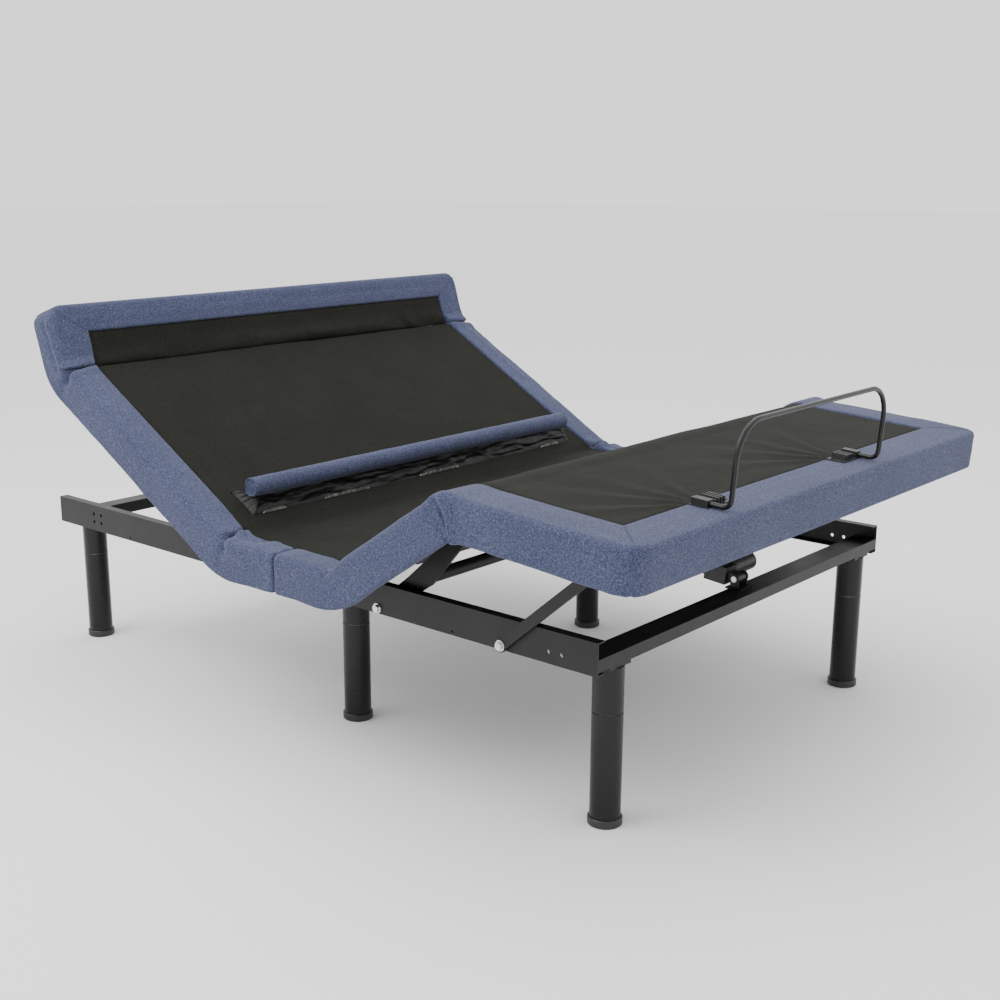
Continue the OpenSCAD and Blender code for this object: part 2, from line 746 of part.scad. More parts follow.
web_in = rail_x - steel_t;
module head_cross_member() {
  color(powder_black) {
    tube_x(rail_x - rail_flange, head_holes_y, rail_top - head_member_h, head_member_w, head_member_h);
    both_sides() difference() {
      union() {
        translate([web_in - 5, head_holes_y - 32, rail_bottom + steel_t]) cube([5, 64, rail_h - 2 * steel_t]);
        translate([rail_x - rail_flange - 3, head_holes_y - head_member_w / 2, rail_top - head_member_h])
          cube([rail_flange - steel_t + 2, head_member_w, head_member_h - steel_t]);
      }
      for (y = [-1, 1]) for (z = [-1, 1])
        bar_x(web_in - 16, web_in + 1, head_holes_y + y * head_hole_pitch[0] / 2,
          rail_bottom + rail_h / 2 + z * head_hole_pitch[1] / 2, trim_hole_d / 2);
    }
  }
}

module foot_cross_member() {
  color(powder_black) {
    translate([0, rail_foot_y, 0]) difference() {
      translate([-web_in, 0, foot_member_z]) cube([2 * web_in, foot_member_w, foot_member_h]);
      translate([-web_in - 1, steel_t, foot_member_z - 1])
        cube([2 * web_in + 2, foot_member_w - 2 * steel_t, foot_member_h - steel_t + 1]);
    }
    clevis(foot_act_base, foot_member_z + foot_member_h - 1, 16);
    translate([-26, foot_act_base[0] - 20, foot_member_z + foot_member_h]) cube([52, 40, 4]);
  }
}

// ---- Legs ----
module leg_brackets() {
  color(powder_black) for (p = LEGS) {
    s = sign(p[0]);
    corner_foot = p[1] < rail_foot_y + foot_member_w;
    half = leg_d / 2 + 4;
    x0 = corner_foot ? p[0] - 36 : (s > 0 ? p[0] - half : -web_in);
    x1 = corner_foot ? p[0] + 36 : (s > 0 ? web_in : p[0] + half);
    y0 = corner_foot ? rail_foot_y + 1 : p[1] - half;
    y1 = corner_foot ? rail_foot_y + foot_member_w - 1 : p[1] + half;
    lift = corner_foot ? 0 : steel_t;
    difference() {
      union() {
        translate([x0, y0, rail_bottom + lift]) cube([x1 - x0, y1 - y0, leg_plate_t - lift]);
        translate([p[0], p[1], rail_bottom])
          cylinder(h = leg_plate_t, r = leg_d / 2 + (corner_foot ? -4 : 3));
        if (!corner_foot) for (y = [y0, y1 - steel_t])
          translate([x0, y, rail_bottom + lift]) cube([x1 - x0, steel_t, leg_plate_t + 12]);
      }
      translate([p[0], p[1], rail_bottom - 1]) cylinder(h = leg_plate_t + 2, r = bolt_d / 2 + pin_play);
    }
  }
}

lower_leg_top = leg_top - upper_leg_len - groove;
module upper_legs() {
  color(powder_black) for (p = LEGS) translate([p[0], p[1], leg_top - upper_leg_len]) difference() {
    cylinder(h = upper_leg_len, d = leg_d, $fn = 64);
    translate([0, 0, 6]) cylinder(h = upper_leg_len, d = leg_d - 2 * leg_wall, $fn = 64);
    translate([0, 0, -1]) cylinder(h = 10, r = bolt_d / 2 + pin_play);
  }
}

module lower_legs() {
  color(powder_black) for (p = LEGS) translate([p[0], p[1], glide_h]) difference() {
    cylinder(h = lower_leg_top - glide_h, d = leg_d, $fn = 64);
    translate([0, 0, -1]) cylinder(h = lower_leg_top - glide_h - 5, d = leg_d - 2 * leg_wall, $fn = 64);
    translate([0, 0, lower_leg_top - glide_h - 10]) cylinder(h = 20, r = bolt_d / 2 + pin_play);
  }
}

module leg_glides() {
  color(plastic_black) for (p = LEGS) translate([p[0], p[1], 0]) {
    rotate_extrude($fn = 64) polygon([
      [0, 0], [glide_d / 2 - 2, 0], [glide_d / 2, 2], [glide_d / 2, glide_h - 2],
      [glide_d / 2 - 2, glide_h], [0, glide_h]
    ]);
    translate([0, 0, glide_h - 1]) cylinder(h = 16, r = leg_d / 2 - leg_wall - 0.1);
  }
}

// Studs that join the two parts of a leg and hold it to its plate
module leg_studs() {
  color(zinc) for (p = LEGS) {
    translate([p[0], p[1], lower_leg_top - 16]) cylinder(h = 40, r = bolt_d / 2);
    translate([p[0], p[1], lower_leg_top]) cylinder(h = groove, r = leg_d / 2 - 3);
    translate([p[0], p[1], leg_top - 30]) cylinder(h = 30 + leg_plate_t + 6, r = bolt_d / 2);
    translate([p[0], p[1], leg_top + leg_plate_t]) cylinder(h = 6, r = bolt_d, $fn = 6);
    translate([p[0], p[1], leg_top - 30]) difference() {
      cylinder(h = 4, r = leg_d / 2 - leg_wall - 0.1);
      translate([0, 0, -1]) cylinder(h = 6, r = bolt_d / 2 - 0.5);
    }
  }
}

// ---- Knee lift ----
module lift_plate() {
  difference() {
    union() {
      bar_x(arm_x - arm_t, arm_x, 0, 0, 19);
      bar_x(arm_x - arm_t, arm_x, arm_tube_a, arm_tube_b, arm_tube_d / 2 + 5);
      bar_x(arm_x - arm_t, arm_x, arm_len, 0, 12);
      sheet_x(arm_x - arm_t, arm_x) polygon([
        [-6, -18], [arm_tube_a + 4, arm_tube_b - arm_tube_d / 2 - 5], [arm_len, -12], [arm_len, 10],
        [110, 12], [0, 19]
      ]);
    }
    bar_x(arm_x - arm_t - 1, arm_x + 1, 0, 0, bolt_d / 2 + pin_play);
  }
}

module on_arm() {
  translate([0, arm_pivot[0], arm_pivot[1]]) rotate([-arm_rest, 0, 0]) mirror([0, 1, 0]) children();
}

// The cross tube stops at two lever plates, so that the actuator's rod can pass between them.
// A tie joins the plates below the rod.
tie_r = 6;
tie_a = arm_tube_a - 19;
tie_b = arm_tube_b - 18;
module lift_arms() {
  color(powder_black) on_arm() {
    both_sides() lift_plate();
    both_sides() difference() {
      bar_x(17, arm_x - 1, arm_tube_a, arm_tube_b, arm_tube_d / 2);
      bar_x(16, arm_x, arm_tube_a, arm_tube_b, arm_tube_d / 2 - tube_t);
    }
    bar_x(-17, 17, tie_a, tie_b, tie_r);
    for (e = [-1, 1]) difference() {
      union() {
        bar_x(e * 19 - 3, e * 19 + 3, lever_a, lever_b, act_pin_d + 2);
        bar_x(e * 19 - 3, e * 19 + 3, arm_tube_a, arm_tube_b, arm_tube_d / 2 + 2);
        bar_x(e * 19 - 3, e * 19 + 3, tie_a, tie_b, tie_r + 3);
        sheet_x(e * 19 - 3, e * 19 + 3) polygon([
          [arm_tube_a + 12, arm_tube_b - 12], [arm_tube_a - 12, arm_tube_b + 12],
          [tie_a - 6, tie_b + 6], [tie_a + 6, tie_b - 6]
        ]);
        sheet_x(e * 19 - 3, e * 19 + 3) polygon([
          [arm_tube_a - 13, arm_tube_b - 6], [arm_tube_a + 11, arm_tube_b + 9],
          [lever_a + 8, lever_b + 9], [lever_a - 9, lever_b - 8]
        ]);
      }
      bar_x(e * 19 - 4, e * 19 + 4, lever_a, lever_b, act_pin_d / 2 + pin_play);
    }
  }
}

// Nylon shoes that slide under the thigh board
module lift_shoes() {
  color(plastic_black) on_arm() both_sides()
    bar_x(arm_x - arm_t - 26, arm_x - arm_t, arm_len, 0, shoe_r);
}

module arm_bolts() {
  color(zinc) translate([0, arm_pivot[0], arm_pivot[1]]) both_sides() {
    translate([rail_x, 0, 0]) hex_bolt(bolt_d, rail_x - arm_x + arm_t + 12);
    bar_x(arm_x - arm_t - 9, arm_x - arm_t - 1, 0, 0, bolt_d * 0.9);
  }
}

// ---- Foot links ----
module foot_link() {
  translate([0, link_pivot[0], link_pivot[1]]) rotate([-link_rest, 0, 0]) mirror([0, 1, 0]) difference() {
    union() {
      bar_x(link_x, link_x + arm_t, 0, 0, link_w / 2 + 3);
      bar_x(link_x, link_x + arm_t, link_len, 0, link_w / 2 + 3);
      translate([link_x, 0, -link_w / 2]) cube([arm_t, link_len, link_w]);
    }
    bar_x(link_x - 1, link_x + arm_t + 1, 0, 0, bolt_d / 2 + pin_play);
    bar_x(link_x - 1, link_x + arm_t + 1, link_len, 0, bolt_d / 2 + 4);
  }
}
module foot_link_right() {
  color(powder_black) foot_link();
}
module foot_link_left() {
  color(powder_black) mirror([1, 0, 0]) foot_link();
}

module link_bolts() {
  color(zinc) translate([0, link_pivot[0], link_pivot[1]]) both_sides() {
    translate([link_x + arm_t + 0.1, 0, 0]) hex_bolt(bolt_d, arm_t + link_x - rail_x + 20);
    difference() {
      bar_x(rail_x, link_x - 0.1, 0, 0, bolt_d);
      bar_x(rail_x - 1, link_x + 1, 0, 0, bolt_d / 2 - 0.5);
    }
    bar_x(web_in - 10, web_in, 0, 0, bolt_d * 0.9);
  }
}

// ---- Actuators: a gear case and tube on the base pin, a motor across it, and a rod ----

// Moves a shape from an actuator's own line, base pin at the origin, to the line from p to q
module on_line(p, q) {
  translate([0, p[0], p[1]]) rotate([atan2(q[1] - p[1], q[0] - p[0]), 0, 0]) children();
}
function span(p, q) = norm([q[0] - p[0], q[1] - p[1]]);

case_len = 78;
module actuator_housing(len, tube_d, half, pin_r) {
  difference() {
    union() {
      bar_x(-half + 1.5, half - 1.5, 0, 0, pin_r + 5);
      translate([-half + 1.5, 0, -pin_r - 4]) cube([2 * half - 3, 30, 2 * pin_r + 8]);
      translate([-tube_d / 2 - 6, 22, -tube_d / 2 - 2]) cube([tube_d + 12, case_len - 22, tube_d + 4]);
      translate([0, case_len - 1, 0]) rotate([-90, 0, 0]) cylinder(h = len - case_len + 1, d = tube_d);
    }
    bar_x(-half, half, 0, 0, pin_r + pin_play);
    translate([0, case_len - 8, 0]) rotate([-90, 0, 0]) cylinder(h = len, d = tube_d - 10);
  }
}

module actuator_motor(tube_d, reach) {
  x0 = tube_d / 2 + 6;
  r = tube_d * 0.62;
  bar_x(x0, x0 + 8, 50, 0, r - 3);
  bar_x(x0 + 7, x0 + reach - 8, 50, 0, r);
  translate([x0 + reach - 9, 50, 0]) rotate([0, 90, 0]) cylinder(h = 9, r1 = r, r2 = r - 7, $fn = 48);
}

// Rod with a slotted eye, which lets the lever's pin rise and fall as the lever swings
module slot_x(half, y, z0, z1, r) {
  bar_x(-half, half, y, z0, r);
  bar_x(-half, half, y, z1, r);
  translate([-half, y - r, z0]) cube([2 * half, 2 * r, z1 - z0]);
}
module actuator_rod(start, len, rod_d, wall, hole_r, down, up, half) {
  difference() {
    union() {
      translate([0, start, 0]) rotate([-90, 0, 0]) cylinder(h = len - start - hole_r, d = rod_d);
      slot_x(half, len, -down, up, hole_r + wall);
    }
    slot_x(half + 1, len, -down, up, hole_r);
  }
}

module pin_bar(p, half, r) {
  bar_x(-half, half, p[0], p[1], r);
  for (e = [-1, 1]) bar_x(e * (half - 1) - 1, e * (half - 1) + 1, p[0], p[1], r + 2);
}

pin_r = act_pin_d / 2;
act_hole_r = pin_r + act_play;
head_span = span(head_act_base, head_act_pin);
foot_span = span(foot_act_base, foot_act_pin);
tilt_span = norm([tilt_act_pin_u - tilt_act_base_u, tilt_act_pin_v - tilt_act_base_v]);
tilt_base = place(back_hinge, back_rest, tilt_act_base_u, tilt_act_base_v, 1);
tilt_pin = place(back_hinge, back_rest, tilt_act_pin_u, tilt_act_pin_v, 1);
tilt_tube_d = 28;
tilt_rod_d = 12;

module head_actuator_housing() {
  color(plastic_black) on_line(head_act_base, head_act_pin)
    actuator_housing(head_span - 92, act_tube_d, 16, pin_r);
}
module head_actuator_motor() {
  color(plastic_black) on_line(head_act_base, head_act_pin) actuator_motor(act_tube_d, 110);
}
module head_actuator_rod() {
  color(zinc) on_line(head_act_base, head_act_pin)
    actuator_rod(head_span - 150, head_span, act_rod_d, 4, act_hole_r, 0, 6.5, 14);
}
module head_actuator_pin() {
  color(zinc) pin_bar(head_act_base, 24, pin_r);
}
module head_lever_pin() {
  color(zinc) pin_bar(head_act_pin, lever_x + 8, pin_r);
}

module foot_actuator_housing() {
  color(plastic_black) on_line(foot_act_base, foot_act_pin)
    actuator_housing(foot_span - 110, act_tube_d, 16, pin_r);
}
module foot_actuator_motor() {
  color(plastic_black) on_line(foot_act_base, foot_act_pin) actuator_motor(act_tube_d, 110);
}
module foot_actuator_rod() {
  color(zinc) on_line(foot_act_base, foot_act_pin)
    actuator_rod(foot_span - 180, foot_span, act_rod_d, 4, act_hole_r, 3, 0.2, 14);
}
module foot_actuator_pin() {
  color(zinc) pin_bar(foot_act_base, 24, pin_r);
}
module foot_lever_pin() {
  color(zinc) pin_bar(foot_act_pin, 24, pin_r);
}

module tilt_actuator_housing() {
  color(plastic_black) on_line(tilt_base, tilt_pin) actuator_housing(tilt_span - 62, tilt_tube_d, 12, pin_r);
}
module tilt_actuator_motor() {
  color(plastic_black) on_line(tilt_base, tilt_pin) actuator_motor(tilt_tube_d, 80);
}
module tilt_actuator_rod() {
  color(zinc) on_line(tilt_base, tilt_pin)
    actuator_rod(tilt_span - 110, tilt_span, tilt_rod_d, 3, 3 + tilt_play, 0, 0.1, 8);
}
module tilt_actuator_pin() {
  color(zinc) pin_bar(tilt_base, 20, pin_r);
}
module tilt_lever_pin() {
  color(zinc) pin_bar(tilt_pin, 18, 3);
}

side_rail_left();
side_rail_right();
head_cross_member();
foot_cross_member();
leg_brackets();
upper_legs();
lower_legs();
leg_glides();
leg_studs();
seat_frame();
seat_board();
seat_cover();
control_box();
power_inlet();
hinge_pins(thigh_hinge);  // thigh_hinge_pins
hinge_pins(back_hinge);  // back_hinge_pins
arm_bolts();
link_bolts();
back_frame();
back_board();
back_cover();
hinge_pins(tilt_hinge);  // tilt_hinge_pins
lumbar_guide();
lumbar_motor();
lumbar_bellows();
tilt_frame();
tilt_board();
tilt_cover();
lumbar_roll();
lumbar_beam();
thigh_frame();
thigh_board();
thigh_cover();
hinge_pins(knee_hinge);  // knee_hinge_pins
foot_frame();
foot_board();
foot_cover();
retainer_bar();
retainer_brackets();
link_pins();
lift_arms();
lift_shoes();
foot_link_left();
foot_link_right();
head_actuator_housing();
head_actuator_motor();
head_actuator_rod();
head_actuator_pin();
head_lever_pin();
foot_actuator_housing();
foot_actuator_motor();
foot_actuator_rod();
foot_actuator_pin();
foot_lever_pin();
tilt_actuator_housing();
tilt_actuator_motor();
tilt_actuator_rod();
tilt_actuator_pin();
tilt_lever_pin();
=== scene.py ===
"""Looks of an adjustable bed base: upholstery, deck sheets, lumbar skirt, finishes, light and camera."""

import logging
import math
from dataclasses import dataclass, field
from enum import Enum
from typing import Callable, Sequence

import bpy
import numpy as np
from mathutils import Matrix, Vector, noise


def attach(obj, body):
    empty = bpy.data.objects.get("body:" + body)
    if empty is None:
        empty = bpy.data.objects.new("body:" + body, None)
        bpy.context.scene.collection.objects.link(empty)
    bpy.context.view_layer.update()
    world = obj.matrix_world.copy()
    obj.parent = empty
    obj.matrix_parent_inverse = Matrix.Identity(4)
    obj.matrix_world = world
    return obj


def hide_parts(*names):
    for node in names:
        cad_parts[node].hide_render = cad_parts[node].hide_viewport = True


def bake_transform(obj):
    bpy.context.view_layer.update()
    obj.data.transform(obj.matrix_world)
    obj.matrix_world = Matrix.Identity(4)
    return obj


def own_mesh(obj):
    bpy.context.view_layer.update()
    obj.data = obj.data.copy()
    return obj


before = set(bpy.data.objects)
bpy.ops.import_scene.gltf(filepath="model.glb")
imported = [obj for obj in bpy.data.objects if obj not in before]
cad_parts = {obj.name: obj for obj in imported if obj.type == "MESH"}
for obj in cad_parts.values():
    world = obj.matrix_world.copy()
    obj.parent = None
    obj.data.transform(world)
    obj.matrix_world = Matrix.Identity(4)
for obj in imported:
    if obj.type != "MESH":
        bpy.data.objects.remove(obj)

LOG = logging.getLogger("bed_base")

MM = 0.001
SEAT_Y = -56.5734
HINGE_Z = 462.0
HALF_WIDTH = 762.0
SEAT_HALF = 183.5
BACK_LEN = 712.0
TILT_LEN = 165.0
THIGH_LEN = 393.0
FOOT_LEN = 465.0
BACK_ANGLE = 30.0
TILT_ANGLE = 72.0
THIGH_ANGLE = 34.0
FOOT_ANGLE = -4.0
TOP = 24.0
UNDER_PAD = 12.4
SKIRT_BOTTOM = -70.0
ROLL_U = 112.0
ROLL_V = 64.0
ROLL_HALF = 610.0
ROLL_R = 24.0
RETAINER_X = -110.0
RETAINER_HALF = 284.0
HEAD_SPLIT = SEAT_HALF + 330.0
FOOT_SPLIT = SEAT_HALF + 200.0
HEAD_LENGTH = SEAT_HALF + BACK_LEN + TILT_LEN
FOOT_LENGTH = SEAT_HALF + THIGH_LEN + FOOT_LEN
HEAD_END_STRIP = 75.0
FOOT_END_STRIP = 110.0
SHEET_TUCK = 2.0
SHALLOW_END_RISE = 36.0
BLACK = (0.0, 0.0, 0.0)
WHITE = (1.0, 1.0, 1.0)

Colour = tuple[float, float, float]
Socket = bpy.types.NodeSocket
Piece = bpy.types.Object
Material = bpy.types.Material
Array = np.ndarray


class End(Enum):
    """The two ends of the bed, as the sign of the way they lie along Y."""

    HEAD = 1
    FOOT = -1


# ---- finishes


class NodeBench:
    """Builds the nodes of one material."""

    def __init__(self, name: str, roughness: float, metallic: float = 0.0) -> None:
        """Starts a material with one shader.

        Args:
            name: The material's name.
            roughness: Roughness before any pattern is laid over it.
            metallic: 1 for bare metal.
        """
        self.material = bpy.data.materials.new(name)
        self.material.use_nodes = True
        self.tree = self.material.node_tree
        self.tree.nodes.clear()
        self.shader = self.tree.nodes.new("ShaderNodeBsdfPrincipled")
        self.output = self.tree.nodes.new("ShaderNodeOutputMaterial")
        self.tree.links.new(self.shader.outputs[0], self.output.inputs[0])
        self.shader.inputs["Roughness"].default_value = roughness
        self.shader.inputs["Metallic"].default_value = metallic
        self.place = self.tree.nodes.new("ShaderNodeTexCoord").outputs["Object"]

    def stretched(self, scale: Sequence[float]) -> Socket:
        """Object coordinates, stretched.

        Args:
            scale: Scale along X, Y and Z.

        Returns:
            The stretched coordinates.
        """
        node = self.tree.nodes.new("ShaderNodeMapping")
        node.inputs["Scale"].default_value = tuple(scale)
        self.tree.links.new(self.place, node.inputs["Vector"])
        return node.outputs[0]

    def grain(self, scale: float, detail: float = 2.0, stretch: Sequence[float] = (1, 1, 1)) -> Socket:
        """A cloud of grain.

        Args:
            scale: Grains in a metre.
            detail: How much finer grain is laid over it.
            stretch: Stretch along X, Y and Z.

        Returns:
            A value from 0 to 1.
        """
        node = self.tree.nodes.new("ShaderNodeTexNoise")
        node.inputs["Scale"].default_value = scale
        node.inputs["Detail"].default_value = detail
        self.tree.links.new(self.stretched(stretch), node.inputs["Vector"])
        return node.outputs[0]

    def ramp(self, value: Socket, stops: Sequence[tuple[float, Colour]]) -> Socket:
        """Turns a value into a colour.

        Args:
            value: The value.
            stops: Places from 0 to 1 and their colours.

        Returns:
            The colour.
        """
        node = self.tree.nodes.new("ShaderNodeValToRGB")
        band = node.color_ramp
        while len(band.elements) < len(stops):
            band.elements.new(0.5)
        for element, (place, colour) in zip(band.elements, stops):
            element.position = place
            element.color = (*colour, 1.0)
        self.tree.links.new(value, node.inputs[0])
        return node.outputs[0]

    def mix(
        self, how: str, share: float | Socket, one: Colour | Socket, two: Colour | Socket
    ) -> Socket:
        """Mixes two colours.

        Args:
            how: The blend type.
            share: A share or a socket.
            one: A colour or a socket.
            two: A colour or a socket.

        Returns:
            The mixed colour.
        """
        node = self.tree.nodes.new("ShaderNodeMix")
        node.data_type = "RGBA"
        node.blend_type = how
        for socket, given in ((node.inputs[0], share), (node.inputs[6], one), (node.inputs[7], two)):
            if isinstance(given, Socket):
                self.tree.links.new(given, socket)
            elif isinstance(given, (int, float)):
                socket.default_value = given
            else:
                socket.default_value = (*given, 1.0)
        return node.outputs[2]

    def bump(self, heights: Sequence[tuple[Socket, float]]) -> None:
        """Lays fine relief over the surface.

        Args:
            heights: Pairs of a value and its depth in metres.
        """
        normal = None
        for value, depth in heights:
            node = self.tree.nodes.new("ShaderNodeBump")
            node.inputs["Strength"].default_value = 1.0
            node.inputs["Distance"].default_value = depth
            self.tree.links.new(value, node.inputs["Height"])
            if normal is not None:
                self.tree.links.new(normal, node.inputs["Normal"])
            normal = node.outputs[0]
        self.tree.links.new(normal, self.shader.inputs["Normal"])

    def colour(self, value: Socket) -> None:
        """Sets the surface's colour."""
        self.tree.links.new(value, self.shader.inputs["Base Color"])

    def roughness(self, value: Socket, low: float, high: float) -> None:
        """Varies the roughness.

        Args:
            value: A value from 0 to 1.
            low: Roughness at 0.
            high: Roughness at 1.
        """
        node = self.tree.nodes.new("ShaderNodeMapRange")
        node.inputs["To Min"].default_value = low
        node.inputs["To Max"].default_value = high
        self.tree.links.new(value, node.inputs["Value"])
        self.tree.links.new(node.outputs[0], self.shader.inputs["Roughness"])


@dataclass(frozen=True)
class HeatherCloth:
    """Woven upholstery cloth in mixed blue and grey yarns."""

    name: str = "heather_cloth"
    dark: Colour = (0.010, 0.014, 0.036)
    mid: Colour = (0.044, 0.053, 0.108)
    light: Colour = (0.150, 0.165, 0.240)

    def build(self) -> Material:
        """Makes the cloth.

        Returns:
            The material.
        """
        bench = NodeBench(self.name, 0.92)
        across = bench.grain(560, 3, (1.0, 0.45, 0.45))
        along = bench.grain(560, 3, (0.45, 1.0, 1.0))
        yarns = bench.mix("MIX", 0.5, across, along)
        body = bench.ramp(yarns, [(0.30, self.dark), (0.50, self.mid), (0.72, self.light)])
        flecks = bench.ramp(bench.grain(1300, 1), [(0.62, BLACK), (0.74, WHITE)])
        body = bench.mix("MIX", bench.mix("MULTIPLY", 1.0, flecks, (0.45, 0.45, 0.45)), body, self.light)
        cloud = bench.ramp(bench.grain(5, 3), [(0.3, (0.90, 0.90, 0.92)), (0.7, (1.06, 1.06, 1.05))])
        bench.colour(bench.mix("MULTIPLY", 1.0, body, cloud))
        bench.shader.inputs["Sheen Weight"].default_value = 0.08
        bench.shader.inputs["Sheen Roughness"].default_value = 0.5
        bench.shader.inputs["Specular IOR Level"].default_value = 0.25
        bench.bump([(yarns, 0.0005), (bench.grain(2200, 1), 0.0002)])
        return bench.material


@dataclass(frozen=True)
class DeckSheetCloth:
    """Charcoal non-woven sheet with a fine speckle."""

    name: str = "deck_sheet_cloth"
    dark: Colour = (0.003, 0.003, 0.002)
    light: Colour = (0.016, 0.016, 0.012)

    def build(self) -> Material:
        """Makes the sheet's cloth.

        Returns:
            The material.
        """
        bench = NodeBench(self.name, 0.85)
        speckle = bench.grain(520, 4)
        body = bench.ramp(speckle, [(0.38, self.dark), (0.62, self.light)])
        lint = bench.ramp(bench.grain(900, 0), [(0.76, BLACK), (0.80, WHITE)])
        body = bench.mix("MIX", bench.mix("MULTIPLY", 1.0, lint, (0.3, 0.3, 0.3)), body, (0.12, 0.12, 0.11))
        cloud = bench.ramp(bench.grain(7, 4), [(0.3, (0.84, 0.84, 0.84)), (0.7, (1.12, 1.12, 1.12))])
        bench.colour(bench.mix("MULTIPLY", 1.0, body, cloud))
        bench.roughness(speckle, 0.66, 0.86)
        bench.shader.inputs["Specular IOR Level"].default_value = 0.14
        bench.bump([(speckle, 0.0005), (bench.grain(60, 3), 0.0006)])
        return bench.material


@dataclass(frozen=True)
class SkirtCloth:
    """Thin black coated cloth, creased and a little shiny."""

    name: str = "skirt_cloth"
    dark: Colour = (0.003, 0.003, 0.003)
    light: Colour = (0.010, 0.010, 0.010)

    def build(self) -> Material:
        """Makes the cloth.

        Returns:
            The material.
        """
        bench = NodeBench(self.name, 0.32)
        bench.shader.inputs["Specular IOR Level"].default_value = 0.22
        bench.colour(bench.ramp(bench.grain(240, 3), [(0.35, self.dark), (0.7, self.light)]))
        crease = bench.grain(40, 5, (0.35, 1.2, 1.2))
        bench.roughness(crease, 0.22, 0.48)
        bench.bump([(crease, 0.004), (bench.grain(260, 3), 0.0006)])
        return bench.material


@dataclass(frozen=True)
class PowderCoat:
    """Satin black powder coat on steel."""

    name: str = "powder_coat"
    colour: Colour = (0.009, 0.009, 0.0095)
    low: float = 0.36
    high: float = 0.50

    def build(self) -> Material:
        """Makes the coat.

        Returns:
            The material.
        """
        bench = NodeBench(self.name, self.low)
        dark = tuple(c * 0.8 for c in self.colour)
        pale = tuple(c * 1.25 for c in self.colour)
        bench.colour(bench.ramp(bench.grain(9, 5), [(0.3, dark), (0.72, pale)]))
        bench.shader.inputs["Specular IOR Level"].default_value = 0.3
        bench.roughness(bench.grain(24, 4), self.low, self.high)
        bench.bump([(bench.grain(700, 2), 0.00012)])
        return bench.material


@dataclass(frozen=True)
class ZincPlate:
    """Bright zinc plating with faint turning marks."""

    name: str = "zinc_plate"

    def build(self) -> Material:
        """Makes the plating.

        Returns:
            The material.
        """
        bench = NodeBench(self.name, 0.28, 1.0)
        bench.colour(bench.ramp(bench.grain(90, 4), [(0.3, (0.42, 0.43, 0.45)), (0.7, (0.72, 0.73, 0.75))]))
        marks = bench.grain(60, 3, (1.0, 30.0, 30.0))
        bench.roughness(marks, 0.2, 0.42)
        bench.bump([(marks, 0.00008)])
        return bench.material


@dataclass(frozen=True)
class MouldedPlastic:
    """Black moulded plastic with a spark-eroded grain."""

    name: str = "moulded_plastic"
    colour: Colour = (0.012, 0.012, 0.013)
    roughness: float = 0.42

    def build(self) -> Material:
        """Makes the plastic.

        Returns:
            The material.
        """
        bench = NodeBench(self.name, self.roughness)
        pale = tuple(c * 1.7 for c in self.colour)
        bench.colour(bench.ramp(bench.grain(30, 3), [(0.3, self.colour), (0.75, pale)]))
        bench.roughness(bench.grain(300, 3), self.roughness - 0.08, self.roughness + 0.12)
        bench.bump([(bench.grain(1400, 1), 0.0001)])
        return bench.material


@dataclass(frozen=True)
class DarkBoard:
    """Plywood coloured near-black with a brown cast, with long grain along the bed."""

    name: str = "stained_board"

    def build(self) -> Material:
        """Makes the board.

        Returns:
            The material.
        """
        bench = NodeBench(self.name, 0.6)
        grain = bench.grain(90, 5, (1.0, 0.06, 0.06))
        bench.colour(bench.ramp(grain, [(0.3, (0.010, 0.009, 0.008)), (0.7, (0.034, 0.028, 0.022))]))
        bench.roughness(grain, 0.5, 0.72)
        bench.bump([(grain, 0.0003)])
        return bench.material


@dataclass(frozen=True)
class ClearTape:
    """Glossy pale film over the skirt's bottom edge."""

    name: str = "clear_tape"

    def build(self) -> Material:
        """Makes the film.

        Returns:
            The material.
        """
        bench = NodeBench(self.name, 0.12)
        bench.colour(bench.ramp(bench.grain(60, 4), [(0.35, (0.05, 0.05, 0.05)), (0.65, (0.22, 0.22, 0.21))]))
        bench.shader.inputs["Coat Weight"].default_value = 0.6
        bench.bump([(bench.grain(70, 4), 0.003)])
        return bench.material


@dataclass(frozen=True)
class SewingThread:
    """Twisted polyester thread, a shade darker than the cloth."""

    name: str = "sewing_thread"
    dark: Colour = (0.030, 0.042, 0.090)
    light: Colour = (0.070, 0.090, 0.170)

    def build(self) -> Material:
        """Makes the thread.

        Returns:
            The material.
        """
        bench = NodeBench(self.name, 0.7)
        bench.colour(bench.ramp(bench.grain(1500, 1), [(0.35, self.dark), (0.65, self.light)]))
        bench.bump([(bench.grain(2200, 1), 0.0002)])
        return bench.material


# ---- shared mesh work


def begin_piece() -> None:
    """Leaves edit mode and deselects everything."""
    if bpy.context.mode != "OBJECT":
        bpy.ops.object.mode_set(mode="OBJECT")
    bpy.ops.object.select_all(action="DESELECT")


def activate(piece: Piece) -> None:
    """Selects one piece alone and makes it the active one."""
    begin_piece()
    piece.select_set(True)
    bpy.context.view_layer.objects.active = piece


def join_pieces(parts: Sequence[Piece]) -> None:
    """Joins pieces into the first of them."""
    activate(parts[0])
    for part in parts:
        part.select_set(True)
    bpy.ops.object.join()


def side_of(end: End) -> str:
    """The end's name, as it stands in the names of pieces."""
    return end.name.lower()


def edit_mesh(*steps: Callable[[], object]) -> None:
    """Runs steps in edit mode on the active piece, with all of it selected."""
    bpy.ops.object.mode_set(mode="EDIT")
    bpy.ops.mesh.select_all(action="SELECT")
    for take in steps:
        take()
    bpy.ops.object.mode_set(mode="OBJECT")


def merge_doubles() -> None:
    """Merges selected points that lie on one another."""
    bpy.ops.mesh.remove_doubles(threshold=0.00002)


def close_ends() -> None:
    """Closes open ends and selects all again."""
    bpy.ops.mesh.fill_holes(sides=0)
    bpy.ops.mesh.select_all(action="SELECT")


